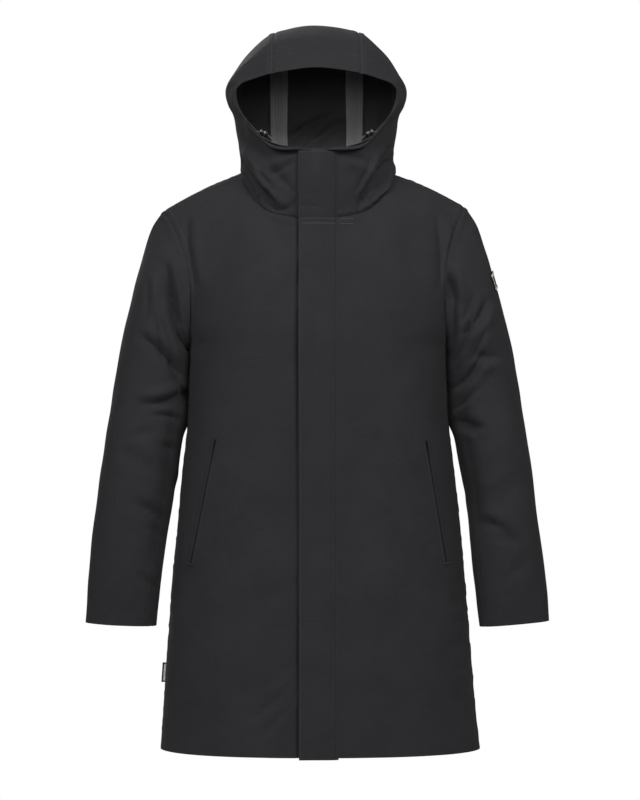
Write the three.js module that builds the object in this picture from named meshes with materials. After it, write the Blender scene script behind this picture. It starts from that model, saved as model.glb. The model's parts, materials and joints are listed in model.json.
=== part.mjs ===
// Hooded parka, filled out as if worn, in millimetres.
// +X is the wearer's left, -Y the front and +Z up. The origin is the base of the neck between the shoulders.
import * as THREE from 'three';

const WALL = 1.5; // shell cloth
const THIN = 1.0; // lining, tapes, pocket bags and labels
const SEAM_GAP = 0.3; // between two pieces sewn together
const LAID_GAP = 0.5; // between a piece and the panel that it lies on
const FRONT_GAP = 3; // half of the opening at the centre front, which the zip fills
const ROUNDNESS = 2.25; // of the body's sections, where 2 is an ellipse
const SLEEVE_ROUNDNESS = 2.2;
const SAME_SIDE = -0.3; // two normals at a seam are averaged above this cosine

// Grid sizes, counted in quads
const HEM_TO_ARMPIT = 17;
const ARMHOLE = 11;
const FRONT_NECK = 6;
const SHOULDER = 5;
const NECK_LOOP = 26;
const HOOD_ROWS = 20;
const CHIN_ROW = 6;
const SLEEVE_ROWS = 22;
const ROWS = HEM_TO_ARMPIT + ARMHOLE;
const FRONT_COLUMNS = FRONT_NECK + SHOULDER;
const BACK_COLUMNS = 2 * SHOULDER + NECK_LOOP - 2 * FRONT_NECK;
const SEAMS = { right: 10, left: 16 }; // hood columns of the two long hood seams
const UNDER_SLEEVE = { from: 20, to: 24 };

const COLOURS = {
  shell: 0x2f2f31,
  lining: 0x19191b,
  tape: 0x565658,
  zip: 0x15161a,
  plastic: 0x1c1c1e,
  cord: 0x8d8d8f,
  label: 0x23262f,
};

const table = (columns, rows) => rows.map((row) => Object.fromEntries(columns.map((name, i) => [name, row[i]])));

// Half widths and depths of the body by height
const BODY = table(['z', 'right', 'left', 'front', 'back'], [
  [-908, 246, 256, 132, 132],
  [-846, 242, 249.5, 130, 130],
  [-768, 237, 243.5, 128, 127],
  [-691, 231.6, 237.5, 126, 124],
  [-620, 226, 231.5, 125, 121],
  [-540, 218, 224.5, 124, 119],
  [-468, 211.5, 216, 124, 119],
  [-393, 204, 208, 125, 121],
  [-328, 202, 205.5, 126, 124],
  [-272, 200.5, 203.5, 126, 126],
]);
const HEM_Z = BODY[0].z;
const ARMPIT_Z = BODY[BODY.length - 1].z;

// Armhole seams from the armpit to the shoulder point, as distances from the centre plane
const ARMHOLES = {
  right: {
    front: table(['x', 'y', 'z'], [
      [200.5, 0, -272], [198, -32, -260], [196, -52, -230], [197, -60, -192],
      [201, -58, -156], [214, -44, -112], [230, -22, -80], [242, -2, -60],
    ]),
    back: table(['x', 'y', 'z'], [
      [200.5, 0, -272], [201, 34, -258], [203, 56, -222], [207, 62, -176],
      [213, 56, -136], [223, 40, -102], [234, 18, -76], [242, -2, -60],
    ]),
  },
  left: {
    front: table(['x', 'y', 'z'], [
      [203.5, 0, -272], [201, -32, -260], [199, -52, -230], [199, -60, -190],
      [202, -57, -148], [210, -44, -112], [223, -22, -76], [233, -2, -54],
    ]),
    back: table(['x', 'y', 'z'], [
      [203.5, 0, -272], [204, 34, -258], [205, 56, -222], [207, 62, -176],
      [211, 56, -134], [218, 40, -98], [227, 18, -71], [233, -2, -54],
    ]),
  },
};

// Sleeve sections from the armhole to the cuff: the outer and the inner end, half the depth, and the middle in Y
const SLEEVES = {
  right: table(['outX', 'outZ', 'inX', 'inZ', 'depth', 'y'], [
    [242, -60, 200.5, -272, 62, -1],
    [260, -84, 201.6, -284, 69, 4],
    [275, -127, 202.2, -300, 75, 9],
    [287.5, -174, 202.8, -318, 79, 12],
    [299, -222, 203.2, -338, 80, 13],
    [308.5, -268, 203.9, -360, 79, 13],
    [318.5, -322, 204.5, -386, 77, 11],
    [329.5, -386, 213, -425, 73, 6],
    [341, -474, 224, -497, 66, -2],
    [352.5, -567, 237, -583, 57, -9],
    [360.4, -648, 247, -655, 48, -13],
    [364.7, -709, 252.8, -714, 38, -15],
  ]),
  left: table(['outX', 'outZ', 'inX', 'inZ', 'depth', 'y'], [
    [233, -54, 203.5, -272, 62, -1],
    [252, -80, 204.6, -284, 69, 4],
    [268, -122, 205.3, -300, 75, 9],
    [281.5, -171, 206, -318, 79, 12],
    [293.5, -216, 206.8, -338, 80, 13],
    [305, -265, 207.6, -360, 79, 13],
    [315.5, -320, 208.4, -386, 77, 11],
    [326.5, -386, 218, -425, 73, 6],
    [339.5, -474, 230.5, -497, 66, -2],
    [351, -567, 240.5, -583, 57, -9],
    [360.3, -648, 248, -657, 48, -13],
    [365.8, -706, 254.5, -715.5, 38, -15],
  ]),
};

// The hood from the neck seam (v 0) to the brim (v 1), as guides that run from the face edge round to the back
const HOOD_STATIONS = [0, 0.1, 0.2, 0.3, 0.42, 0.54, 0.66, 0.78, 0.9, 1];
const HOOD_SIDES = { right: 1, left: 0.985 };
const HOOD = {
  edge: { column: 0, points: table(['x', 'y', 'z'], [
    [3, -106, -83], [3, -110, -53], [3, -112, -16], [3, -112, 22], [42, -109, 23],
    [68, -102, 29], [86, -93, 44], [102, -84, 64], [116, -75, 86], [125, -68, 104],
  ]) },
  cheek: { column: 3, points: table(['x', 'y', 'z'], [
    [76, -80, -67], [83, -80, -32], [90, -78, 2], [96, -76, 30], [102, -72, 50],
    [109, -67, 64], [119, -62, 79], [129, -60, 94], [134, -64, 109], [125, -75, 121],
  ]) },
  side: { column: 6, points: table(['x', 'y', 'z'], [
    [120, -18, -7], [121, -10, 20], [124, -4, 45], [128, 0, 66], [130, -2, 84],
    [134, -6, 99], [141, -14, 112], [143.5, -26, 123], [136, -50, 134], [117, -82, 131],
  ]) },
  quarter: { column: 8, points: table(['x', 'y', 'z'], [
    [112, 35, 0], [114, 42, 32], [118, 48, 64], [122, 50, 95], [126, 48, 122],
    [127, 38, 148], [121, 17, 169], [112, -14, 181], [102, -58, 175], [95, -92, 138],
  ]) },
  seam: { column: 10, points: table(['x', 'y', 'z'], [
    [60, 74, 2.3], [60, 80.5, 38], [61, 89.5, 74], [61, 100, 109.5], [61, 107, 148],
    [62, 97, 185], [64, 60, 211], [66, 5.5, 222], [68, -62, 199.5], [69, -107, 144],
  ]) },
  centre: { column: 13, points: table(['x', 'y', 'z'], [
    [0, 80, 3], [0, 86, 38], [0, 96, 74], [0, 108, 110], [0, 118, 150],
    [0, 108, 190], [0, 70, 221], [0, 10, 232], [0, -65, 208], [0, -115, 152],
  ]) },
};

// Which way a column of a body panel points where it reaches its top edge
const SHOULDER_ARCH = 6; // rise of the shoulder seam above a straight line
const FRONT_TOP = { centre: [0, 0.05, 1], neck: [0, 0.85, 0.52], shoulder: [0, 0.86, 0.5] };
const BACK_TOP = { centre: [0, -0.35, 0.94], neck: [0, -0.82, -0.57], shoulder: [0, -0.8, -0.6] };

// The largest folds, as lines seen from the front or the back: troughs are negative
const FOLDS = table(['piece', 'face', 'x0', 'z0', 'x1', 'z1', 'depth', 'width'], [
  ['sleeve_right', -1, -238, -166, -214, -245, -8, 15],
  ['sleeve_right', -1, -214, -245, -202, -285, -7, 14],
  ['sleeve_right', -1, -252, -185, -232, -262, 4, 15],
  ['sleeve_right', -1, -270, -268, -214, -318, -5, 16],
  ['sleeve_right', -1, -262, -361, -206, -347, -5, 15],
  ['sleeve_right', -1, -286, -520, -240, -546, -3, 16],
  ['sleeve_right', -1, -285, -640, -262, -652, -3, 16],
  ['sleeve_right', 1, -240, -170, -210, -268, -7, 16],
  ['sleeve_right', 1, -276, -330, -212, -352, -5, 17],
  ['sleeve_right', 1, -300, -470, -232, -500, -5, 18],
  ['sleeve_left', -1, 232, -150, 206, -212, -7, 15],
  ['sleeve_left', -1, 262, -212, 229, -255, -5, 15],
  ['sleeve_left', -1, 276, -290, 216, -340, -6, 16],
  ['sleeve_left', -1, 256, -400, 218, -394, -4, 15],
  ['sleeve_left', -1, 256, -551, 292, -564, -3, 16],
  ['sleeve_left', 1, 238, -168, 212, -262, -7, 16],
  ['sleeve_left', 1, 282, -322, 214, -356, -5, 17],
  ['sleeve_left', 1, 306, -466, 236, -506, -5, 18],
  ['front_right', -1, -88, -470, -186, -608, 3, 22],
  ['front_right', -1, -110, -792, -36, -752, -3, 18],
  ['front_left', -1, 96, -500, 190, -600, 2.5, 22],
  ['back', 1, -150, -150, -60, -240, -4, 24],
  ['back', 1, 150, -150, 60, -240, -4, 24],
  ['back', 1, -120, -470, 40, -500, -4, 26],
  ['back', 1, 130, -560, -20, -590, -3, 26],
  ['hood', -1, -112, 14, -84, -26, -4, 13],
  ['hood', -1, 108, 12, 84, -28, -4, 13],
]);

// Placket flap and front zip: columns across the centre front, with how far each face stands out
const FLAP = table(['x', 'out'], [[-27, 2.6], [-13, 3.6], [0, 3.8], [16, 3], [33, 0.7]]);
const ZIP = { halfWidth: 12, outer: -2, inner: -3.1 };
const ZIP_TOP_ROW = 5;
const SLIDER = { width: 5, height: 12, thick: 2.2, row: 4.4 };

// Slanted side pockets: the two ends of each slit
const POCKETS = table(['side', 'x0', 'z0', 'x1', 'z1'], [
  ['right', -156.7, -421, -195.7, -614],
  ['left', 168.6, -423, 200.6, -613],
]);
const POCKET_ZIP = { from: -2, to: 2, thick: 0.8 };
const POCKET_WELT = { from: 2.4, to: 8.4, thick: 1.3 };
const POCKET_BAG = { firstRow: 7, lastRow: 15, firstColumn: 3, lastColumn: 8 };
const POCKET_STEPS = 14;
const POCKET_GAP = 0.8;

const TAPE = { halfWidth: 0.52, firstRow: 1, lastRow: 19 }; // in hood columns and rows
const LINING = { firstRow: 1, lastRow: 18, edge: 1 };
const PATCH = { side: 'left', firstRow: 5.35, lastRow: 6.45, first: 9.75, last: 11.9 };
const SIDE_LABEL = { top: -774, bottom: -805, near: 0.5, far: 6, thick: 2 }; // near and far: out of the seam

const CORD = { radius: 0.9, sides: 8, steps: 12 };
const LOCK = { radius: 4.6, bore: 1.7, length: 10 };
const CORDS = table(['side', 'x', 'y', 'z'], [
  ['right', -95.5, -78.5, 66], ['right', -80, -84, 56], ['right', -72, -87, 47], ['right', -66, -89, 39], ['right', -58, -92, 32.4],
  ['left', 94.2, -78.5, 66], ['left', 79, -84, 56], ['left', 70.9, -87, 47], ['left', 64.8, -89, 39], ['left', 56.2, -92.3, 32],
]);

// A smooth curve through knots that never swings past them
function curve(knots, values) {
  const step = knots.slice(1).map((knot, i) => knot - knots[i]);
  const slope = step.map((width, i) => (values[i + 1] - values[i]) / width);
  const tangent = knots.map((_, i) => {
    if (i === 0) return slope[0];
    if (i === knots.length - 1) return slope[i - 1];
    if (slope[i - 1] * slope[i] <= 0) return 0;
    const before = 2 * step[i] + step[i - 1];
    const after = step[i] + 2 * step[i - 1];
    return (before + after) / (before / slope[i - 1] + after / slope[i]);
  });
  return (t) => {
    let i = 0;
    while (i < step.length - 1 && t > knots[i + 1]) i += 1;
    const s = (t - knots[i]) / step[i];
    const a = values[i] * (1 + 2 * s) * (1 - s) ** 2 + values[i + 1] * s * s * (3 - 2 * s);
    return a + step[i] * (tangent[i] * s * (1 - s) ** 2 - tangent[i + 1] * s * s * (1 - s));
  };
}

// A smooth path through a table of points, from 0 to 1 along its length
function path(rows) {
  const points = rows.map(({ x, y, z }) => new THREE.Vector3(x, y, z));
  const along = [0];
  points.slice(1).forEach((point, i) => along.push(along[i] + point.distanceTo(points[i])));
  const knots = along.map((length) => length / along[along.length - 1]);
  const parts = ['x', 'y', 'z'].map((axis) => curve(knots, points.map((point) => point[axis])));
  return (t) => new THREE.Vector3(...parts.map((part) => part(t)));
}

const sign = (side) => (side === 'right' ? -1 : 1);
const ease = (t) => t * t * (3 - 2 * t);
const steps = (count) => Array.from({ length: count + 1 }, (_, i) => i);
const moved = (point, direction, distance) => point.clone().addScaledVector(direction, distance);

// The body's sections
const bodySize = Object.fromEntries(['right', 'left', 'front', 'back'].map((name) => (
  [name, curve(BODY.map((row) => row.z), BODY.map((row) => row[name]))]
)));

function bodyPoint(side, face, z, turn, gap) {
  const angle = turn * Math.PI / 2;
  const across = Math.max(0, Math.sin(angle)) ** (2 / ROUNDNESS);
  const out = Math.max(0, Math.cos(angle)) ** (2 / ROUNDNESS);
  const x = gap + (bodySize[side](z) - gap) * across;
  return new THREE.Vector3(sign(side) * x, (face === 'front' ? -1 : 1) * bodySize[face](z) * out, z);
}

// The hood as one surface, evaluated at a row fraction and a column
const GUIDES = ['edge', 'cheek', 'side', 'quarter', 'seam'];
const hoodGuides = [
  ...GUIDES.map((name) => ({ name, side: 'right', column: HOOD[name].column })),
  { name: 'centre', side: 'right', column: HOOD.centre.column },
  ...[...GUIDES].reverse().map((name) => ({ name, side: 'left', column: NECK_LOOP - HOOD[name].column })),
].map(({ name, side, column }) => {
  const rows = HOOD[name].points;
  const scale = (x) => (x <= FRONT_GAP ? x : x * HOOD_SIDES[side]) * sign(side);
  const lines = [rows.map(({ x }) => scale(x)), rows.map(({ y }) => y), rows.map(({ z }) => z)];
  return { column, lines: lines.map((line) => curve(HOOD_STATIONS, line)) };
});

function hoodRow(v) {
  const knots = hoodGuides.map((guide) => guide.column);
  const axes = [0, 1, 2].map((axis) => curve(knots, hoodGuides.map((guide) => guide.lines[axis](v))));
  return steps(NECK_LOOP).map((column) => new THREE.Vector3(...axes.map((axis) => axis(column))));
}

const hoodGrid = steps(HOOD_ROWS).map((row) => hoodRow(row / HOOD_ROWS));
const neck = hoodGrid[0];

function neckEnd(side) {
  return side === 'right' ? neck[FRONT_NECK] : neck[NECK_LOOP - FRONT_NECK];
}

// A body column above the armpit: it leaves the section upwards and reaches the top edge the way that edge asks
function rise(from, to, leave, reach, t) {
  const length = from.distanceTo(to);
  const point = from.clone().multiplyScalar((1 + 2 * t) * (1 - t) ** 2);
  point.addScaledVector(leave, length * t * (1 - t) ** 2);
  point.addScaledVector(to, t * t * (3 - 2 * t));
  return point.addScaledVector(reach, -length * t * t * (1 - t));
}

function topDirection(top, column, neckColumns, columns) {
  const [centre, neckSide, shoulder] = [top.centre, top.neck, top.shoulder].map((v) => new THREE.Vector3(...v));
  const way = column <= neckColumns
    ? centre.lerp(neckSide, ease(column / neckColumns))
    : neckSide.lerp(shoulder, (column - neckColumns) / (columns - neckColumns));
  return way.normalize();
}

// Half of a body panel, from its centre line to its side edge
function halfPanel(side, face, topRow, neckColumns, top, gap) {
  const columns = topRow.length - 1;
  const armhole = path(ARMHOLES[side][face].map(({ x, y, z }) => ({ x: sign(side) * x, y, z })));
  const below = steps(HEM_TO_ARMPIT).map((row) => {
    const z = HEM_Z + (ARMPIT_Z - HEM_Z) * row / HEM_TO_ARMPIT;
    return steps(columns).map((column) => bodyPoint(side, face, z, column / columns, gap));
  });
  const start = below[HEM_TO_ARMPIT];
  const leave = new THREE.Vector3(0, 0, 1);
  const above = steps(ARMHOLE).slice(1).map((row) => {
    const t = row / ARMHOLE;
    const line = (column) => rise(
      start[column], topRow[column], leave, topDirection(top, column, neckColumns, columns), t,
    );
    const miss = armhole(t).sub(line(columns));
    return steps(columns).map((column) => moved(line(column), miss, (column / columns) ** 3));
  });
  above[ARMHOLE - 1] = topRow.map((point) => point.clone());
  return [...below, ...above];
}

function shoulderLine(side) {
  const last = ARMHOLES[side].front[ARMHOLES[side].front.length - 1];
  const end = new THREE.Vector3(sign(side) * last.x, last.y, last.z);
  return steps(SHOULDER).slice(1).map((i) => {
    const t = i / SHOULDER;
    return moved(neckEnd(side).clone().lerp(end, t), new THREE.Vector3(0, 0, 1), 4 * SHOULDER_ARCH * t * (1 - t));
  });
}

function frontGrid(side) {
  const collar = side === 'right' ? neck : [...neck].reverse();
  const top = [...collar.slice(0, FRONT_NECK + 1), ...shoulderLine(side)];
  return halfPanel(side, 'front', top, FRONT_NECK, FRONT_TOP, FRONT_GAP);
}

function backGrid() {
  const middle = NECK_LOOP / 2;
  const halves = { right: [...neck.slice(0, middle + 1)].reverse(), left: neck.slice(middle) };
  const [right, left] = ['right', 'left'].map((side) => {
    const top = [...halves[side].slice(0, middle - FRONT_NECK + 1), ...shoulderLine(side)];
    return halfPanel(side, 'back', top, middle - FRONT_NECK, BACK_TOP, 0);
  });
  return right.map((row, j) => [...[...row].reverse(), ...left[j].slice(1)]);
}

// A sleeve as rings from the armhole to the cuff; column 0 is the armpit and the columns go round by the front
function sleeveGrid(side, front, back) {
  const rows = SLEEVES[side];
  const knots = rows.map((_, i) => i / (rows.length - 1));
  const size = Object.fromEntries(Object.keys(rows[0]).map((name) => (
    [name, curve(knots, rows.map((row) => row[name]))]
  )));
  const round = (angle) => {
    const [c, s] = [Math.cos(angle), Math.sin(angle)];
    const power = 2 / SLEEVE_ROUNDNESS;
    return [Math.sign(c) * Math.abs(c) ** power, Math.sign(s) * Math.abs(s) ** power];
  };
  const ringPoint = (s, q) => {
    const outer = new THREE.Vector3(sign(side) * size.outX(s), size.y(s), size.outZ(s));
    const inner = new THREE.Vector3(sign(side) * size.inX(s), size.y(s), size.inZ(s));
    const [along, forward] = round(Math.PI * (1 - q / ARMHOLE));
    const point = inner.lerp(outer, (1 + along) / 2);
    point.y -= size.depth(s) * forward;
    return point;
  };
  const edgeColumn = side === 'right' ? 0 : BACK_COLUMNS;
  const armhole = steps(2 * ARMHOLE - 1).map((q) => (
    q <= ARMHOLE ? front[HEM_TO_ARMPIT + q][FRONT_COLUMNS] : back[ROWS + ARMHOLE - q][edgeColumn]
  ));
  return steps(SLEEVE_ROWS).map((row) => {
    const s = row / SLEEVE_ROWS;
    const fade = s < 0.3 ? 1 - ease(s / 0.3) : 0;
    return armhole.map((edge, q) => moved(ringPoint(s, q), edge.clone().sub(ringPoint(0, q)), fade));
  });
}

// Unit normals of a grid; facing says which way round its rows and columns are
function normalsOf(grid, facing, ring) {
  const columns = grid[0].length;
  return grid.map((row, j) => row.map((_, i) => {
    const before = ring ? row[(i + columns - 1) % columns] : row[Math.max(0, i - 1)];
    const after = ring ? row[(i + 1) % columns] : row[Math.min(columns - 1, i + 1)];
    const below = grid[Math.max(0, j - 1)][i];
    const above = grid[Math.min(grid.length - 1, j + 1)][i];
    return after.clone().sub(before).cross(above.clone().sub(below)).multiplyScalar(facing).normalize();
  }));
}

function foldDepth(fold, point) {
  const [dx, dz] = [fold.x1 - fold.x0, fold.z1 - fold.z0];
  const t = ((point.x - fold.x0) * dx + (point.z - fold.z0) * dz) / (dx * dx + dz * dz);
  const near = Math.min(1, Math.max(0, t));
  const away = Math.hypot(point.x - fold.x0 - near * dx, point.z - fold.z0 - near * dz);
  return fold.depth * Math.exp(-((away / fold.width) ** 2));
}

// Moves a panel's inner points by the folds that cross it
function folded(name, grid, facing, ring = false) {
  const folds = FOLDS.filter((fold) => fold.piece === name);
  const normals = normalsOf(grid, facing, ring);
  const last = grid[0].length - 1;
  const moves = grid.map((row, j) => row.map((point, i) => {
    const edge = j === 0 || j === grid.length - 1 || (!ring && (i === 0 || i === last));
    const facingIt = (fold) => fold.face * (normals[j][i].y + 0.1 * fold.face) > 0;
    return edge ? 0 : folds.filter(facingIt).reduce((sum, fold) => sum + foldDepth(fold, point), 0);
  }));
  const shaped = grid.map((row, j) => row.map((point, i) => moved(point, normals[j][i], moves[j][i])));
  return { grid: shaped, facing, normals: normalsOf(shaped, facing, ring) };
}

// Part of a panel, with columns counted round again past the last one
function part(panel, firstRow, lastRow, firstColumn, lastColumn) {
  const columns = panel.grid[0].length;
  const cut = (rows) => rows.slice(firstRow, lastRow + 1).map((row) => (
    steps(lastColumn - firstColumn).map((i) => row[(firstColumn + i) % columns].clone())
  ));
  return { grid: cut(panel.grid), normals: cut(panel.normals), facing: panel.facing };
}

const group = new THREE.Group();
group.name = 'parka';

function add(name, geometry, colour) {
  const mesh = new THREE.Mesh(geometry, new THREE.MeshStandardMaterial({ color: COLOURS[colour], roughness: 0.9 }));
  mesh.name = name;
  group.add(mesh);
}

// A closed solid between two grids of the same size.
// Rims that face each other across a seam are cut along the same diagonals, whichever way round they run.
const RIM_ORDER = new THREE.Vector3(1, 1.7, 2.3);
function solid(name, outer, inner, facing, colour) {
  const [rows, columns] = [outer.length, outer[0].length];
  const at = (layer, j, i) => (layer * rows + j) * columns + i;
  const index = [];
  const quad = (a, b, c, d) => index.push(...(facing > 0 ? [a, b, c, a, c, d] : [a, c, b, a, d, c]));
  for (let j = 0; j < rows - 1; j += 1) {
    for (let i = 0; i < columns - 1; i += 1) {
      quad(at(0, j, i), at(0, j, i + 1), at(0, j + 1, i + 1), at(0, j + 1, i));
      quad(at(1, j, i), at(1, j + 1, i), at(1, j + 1, i + 1), at(1, j, i + 1));
    }
  }
  const rim = [
    ...steps(columns - 2).map((i) => [0, i]),
    ...steps(rows - 2).map((j) => [j, columns - 1]),
    ...steps(columns - 2).map((i) => [rows - 1, columns - 1 - i]),
    ...steps(rows - 2).map((j) => [rows - 1 - j, 0]),
  ];
  const order = ([j, i]) => outer[j][i].dot(RIM_ORDER);
  rim.forEach((here, k) => {
    const next = rim[(k + 1) % rim.length];
    const ring = [at(1, ...here), at(1, ...next), at(0, ...next), at(0, ...here)];
    if (order(here) < order(next)) ring.push(ring.shift());
    quad(...ring);
  });
  const points = [...outer.flat(), ...inner.flat()].flatMap((point) => point.toArray());
  const geometry = new THREE.BufferGeometry();
  geometry.setAttribute('position', new THREE.Float32BufferAttribute(points, 3));
  geometry.setIndex(index);
  add(name, geometry, colour);
}

// Normals at seams are shared by the pieces that meet there, so that their walls don't cross.
// Where two surfaces turn sharply away from each other, each keeps its own.
const seamNormals = new Map();
const keyOf = (point) => point.toArray().map((value) => Math.round(value * 50) + 0).join(',');
const onEdge = (grid, j, i) => j === 0 || i === 0 || j === grid.length - 1 || i === grid[0].length - 1;
const groupOf = (groups, normal) => groups.find(({ seed }) => seed.dot(normal) > SAME_SIDE);

function joinSeams(panels) {
  panels.forEach(({ grid, normals }) => grid.forEach((row, j) => row.forEach((point, i) => {
    if (!onEdge(grid, j, i)) return;
    const key = keyOf(point);
    const groups = seamNormals.get(key) ?? [];
    const joined = groupOf(groups, normals[j][i]);
    if (joined) joined.sum.add(normals[j][i]);
    else groups.push({ seed: normals[j][i], sum: normals[j][i].clone() });
    seamNormals.set(key, groups);
  })));
}

function seamNormal(point, normal) {
  return groupOf(seamNormals.get(keyOf(point)) ?? [], normal)?.sum.clone().normalize() ?? normal;
}

// A cloth piece: its edges drawn back by half a seam's gap, and its wall inside the panel's points
function cloth(name, panel, colour = 'shell', thick = WALL) {
  const { grid, normals, facing } = panel;
  const [lastRow, lastColumn] = [grid.length - 1, grid[0].length - 1];
  const shifts = { first: (i) => (i === 0 ? 1 : 0), last: (i, end) => (i === end ? -1 : 0) };
  const outer = grid.map((row, j) => row.map((point, i) => {
    const rowStep = shifts.first(j) + shifts.last(j, lastRow);
    const columnStep = shifts.first(i) + shifts.last(i, lastColumn);
    const drawn = point.clone();
    if (rowStep) drawn.addScaledVector(grid[j + rowStep][i].clone().sub(point).normalize(), SEAM_GAP / 2);
    if (columnStep) drawn.addScaledVector(row[i + columnStep].clone().sub(point).normalize(), SEAM_GAP / 2);
    return drawn;
  }));
  const inner = outer.map((row, j) => row.map((point, i) => {
    const normal = onEdge(grid, j, i) ? seamNormal(grid[j][i], normals[j][i]) : normals[j][i];
    return moved(point, normal, -thick);
  }));
  solid(name, outer, inner, facing, colour);
}

// A point of a panel at a fractional row and column, moved out along its normal
function onPanel(panel, row, column, out) {
  const mix = (rows) => {
    const [j, i] = [Math.min(rows.length - 2, Math.floor(row)), Math.min(rows[0].length - 2, Math.floor(column))];
    const line = (k) => rows[k][i].clone().lerp(rows[k][i + 1], column - i);
    return line(j).lerp(line(j + 1), row - j);
  };
  return moved(mix(panel.grid), mix(panel.normals).normalize(), out);
}

// The column at which a row of a panel is a distance from the centre plane
function columnAt(panel, row, distance) {
  const columns = panel.grid[0].length - 1;
  const x = (column) => Math.abs(onPanel(panel, row, column, 0).x);
  if (x(0) >= distance) return 0;
  let column = 0;
  while (column < columns - 1 && x(column + 1) < distance) column += 1;
  return column + (distance - x(column)) / (x(column + 1) - x(column));
}

// The two fronts with the collar above them, as one strip at the centre front
const frontRight = folded('front_right', frontGrid('right'), -1);
const frontLeft = folded('front_left', frontGrid('left'), 1);
const back = folded('back', backGrid(), -1);
const hood = folded('hood', hoodGrid, -1);
const mirrored = (rows) => rows.map((row) => [...row].reverse());
const collarRight = part(hood, 0, CHIN_ROW, 0, FRONT_NECK);
const leftPart = part(hood, 0, CHIN_ROW, NECK_LOOP - FRONT_NECK, NECK_LOOP);
const collarLeft = { grid: mirrored(leftPart.grid), normals: mirrored(leftPart.normals) };

function centreFrontPoint(row, x, out) {
  const low = row <= ROWS;
  const at = low ? row : row - ROWS;
  const sides = { right: low ? frontRight : collarRight, left: low ? frontLeft : collarLeft };
  if (Math.abs(x) >= FRONT_GAP) {
    const panel = sides[x < 0 ? 'right' : 'left'];
    return onPanel(panel, at, columnAt(panel, at, Math.abs(x)), out);
  }
  const middle = onPanel(sides.right, at, 0, out).lerp(onPanel(sides.left, at, 0, out), 0.5);
  middle.x = x;
  return middle;
}

function addBody() {
  const sleeves = ['right', 'left'].map((side) => {
    const grid = sleeveGrid(side, (side === 'right' ? frontRight : frontLeft).grid, back.grid);
    return folded(`sleeve_${side}`, grid, -sign(side), true);
  });
  const columns = 2 * ARMHOLE;
  const pieces = [
    ['front_right', frontRight],
    ['front_left', frontLeft],
    ['back', back],
    ['hood_side_right', part(hood, 0, HOOD_ROWS, 0, SEAMS.right)],
    ['hood_centre', part(hood, 0, HOOD_ROWS, SEAMS.right, SEAMS.left)],
    ['hood_side_left', part(hood, 0, HOOD_ROWS, SEAMS.left, NECK_LOOP)],
    ...['right', 'left'].flatMap((side, k) => [
      [`sleeve_${side}_upper`, part(sleeves[k], 0, SLEEVE_ROWS, UNDER_SLEEVE.to - columns, UNDER_SLEEVE.from)],
      [`sleeve_${side}_under`, part(sleeves[k], 0, SLEEVE_ROWS, UNDER_SLEEVE.from, UNDER_SLEEVE.to)],
    ]),
  ];
  joinSeams(pieces.map(([, panel]) => panel));
  pieces.forEach(([name, panel]) => cloth(name, panel));
  return sleeves;
}

function addClosure() {
  const flapRows = steps(ROWS + CHIN_ROW);
  const layer = (extra) => flapRows.map((row) => FLAP.map(({ x, out }) => centreFrontPoint(row, x, out + extra)));
  solid('placket_flap', layer(WALL), layer(0), 1, 'shell');
  const zipRows = steps(ROWS + ZIP_TOP_ROW);
  const face = (out) => zipRows.map((row) => [-1, 1].map((k) => centreFrontPoint(row, k * ZIP.halfWidth, out)));
  solid('front_zip', face(ZIP.outer), face(ZIP.inner), 1, 'zip');
  const place = centreFrontPoint(ROWS + SLIDER.row, 0, 0.2 + SLIDER.thick / 2);
  const slider = new THREE.BoxGeometry(SLIDER.width, SLIDER.thick, SLIDER.height);
  add('zip_slider', slider.translate(place.x, place.y, place.z), 'zip');
}

function addPockets() {
  POCKETS.forEach(({ side, x0, z0, x1, z1 }) => {
    const panel = side === 'right' ? frontRight : frontLeft;
    const slope = new THREE.Vector2(x1 - x0, z1 - z0).normalize();
    const beside = new THREE.Vector2(-slope.y, slope.x).multiplyScalar(side === 'right' ? -1 : 1);
    const point = (t, away, out) => {
      const x = x0 + (x1 - x0) * t + beside.x * away;
      const z = z0 + (z1 - z0) * t + beside.y * away;
      const row = (z - HEM_Z) / (ARMPIT_Z - HEM_Z) * HEM_TO_ARMPIT;
      return onPanel(panel, row, columnAt(panel, row, Math.abs(x)), out);
    };
    const strip = (name, { from, to, thick }, colour) => {
      const layer = (out) => steps(POCKET_STEPS).map((k) => (
        [from, to].map((away) => point(1 - k / POCKET_STEPS, away, out))
      ));
      solid(name, layer(POCKET_GAP + thick), layer(POCKET_GAP), panel.facing, colour);
    };
    strip(`pocket_zip_${side}`, POCKET_ZIP, 'zip');
    strip(`pocket_welt_${side}`, POCKET_WELT, 'shell');
    const { firstRow, lastRow, firstColumn, lastColumn } = POCKET_BAG;
    const bag = part(panel, firstRow, lastRow, firstColumn, lastColumn);
    const layer = (out) => bag.grid.map((row, j) => row.map((_, i) => onPanel(bag, j, i, out)));
    const top = -WALL - LAID_GAP;
    solid(`pocket_bag_${side}`, layer(top), layer(top - THIN), panel.facing, 'lining');
  });
}

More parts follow.
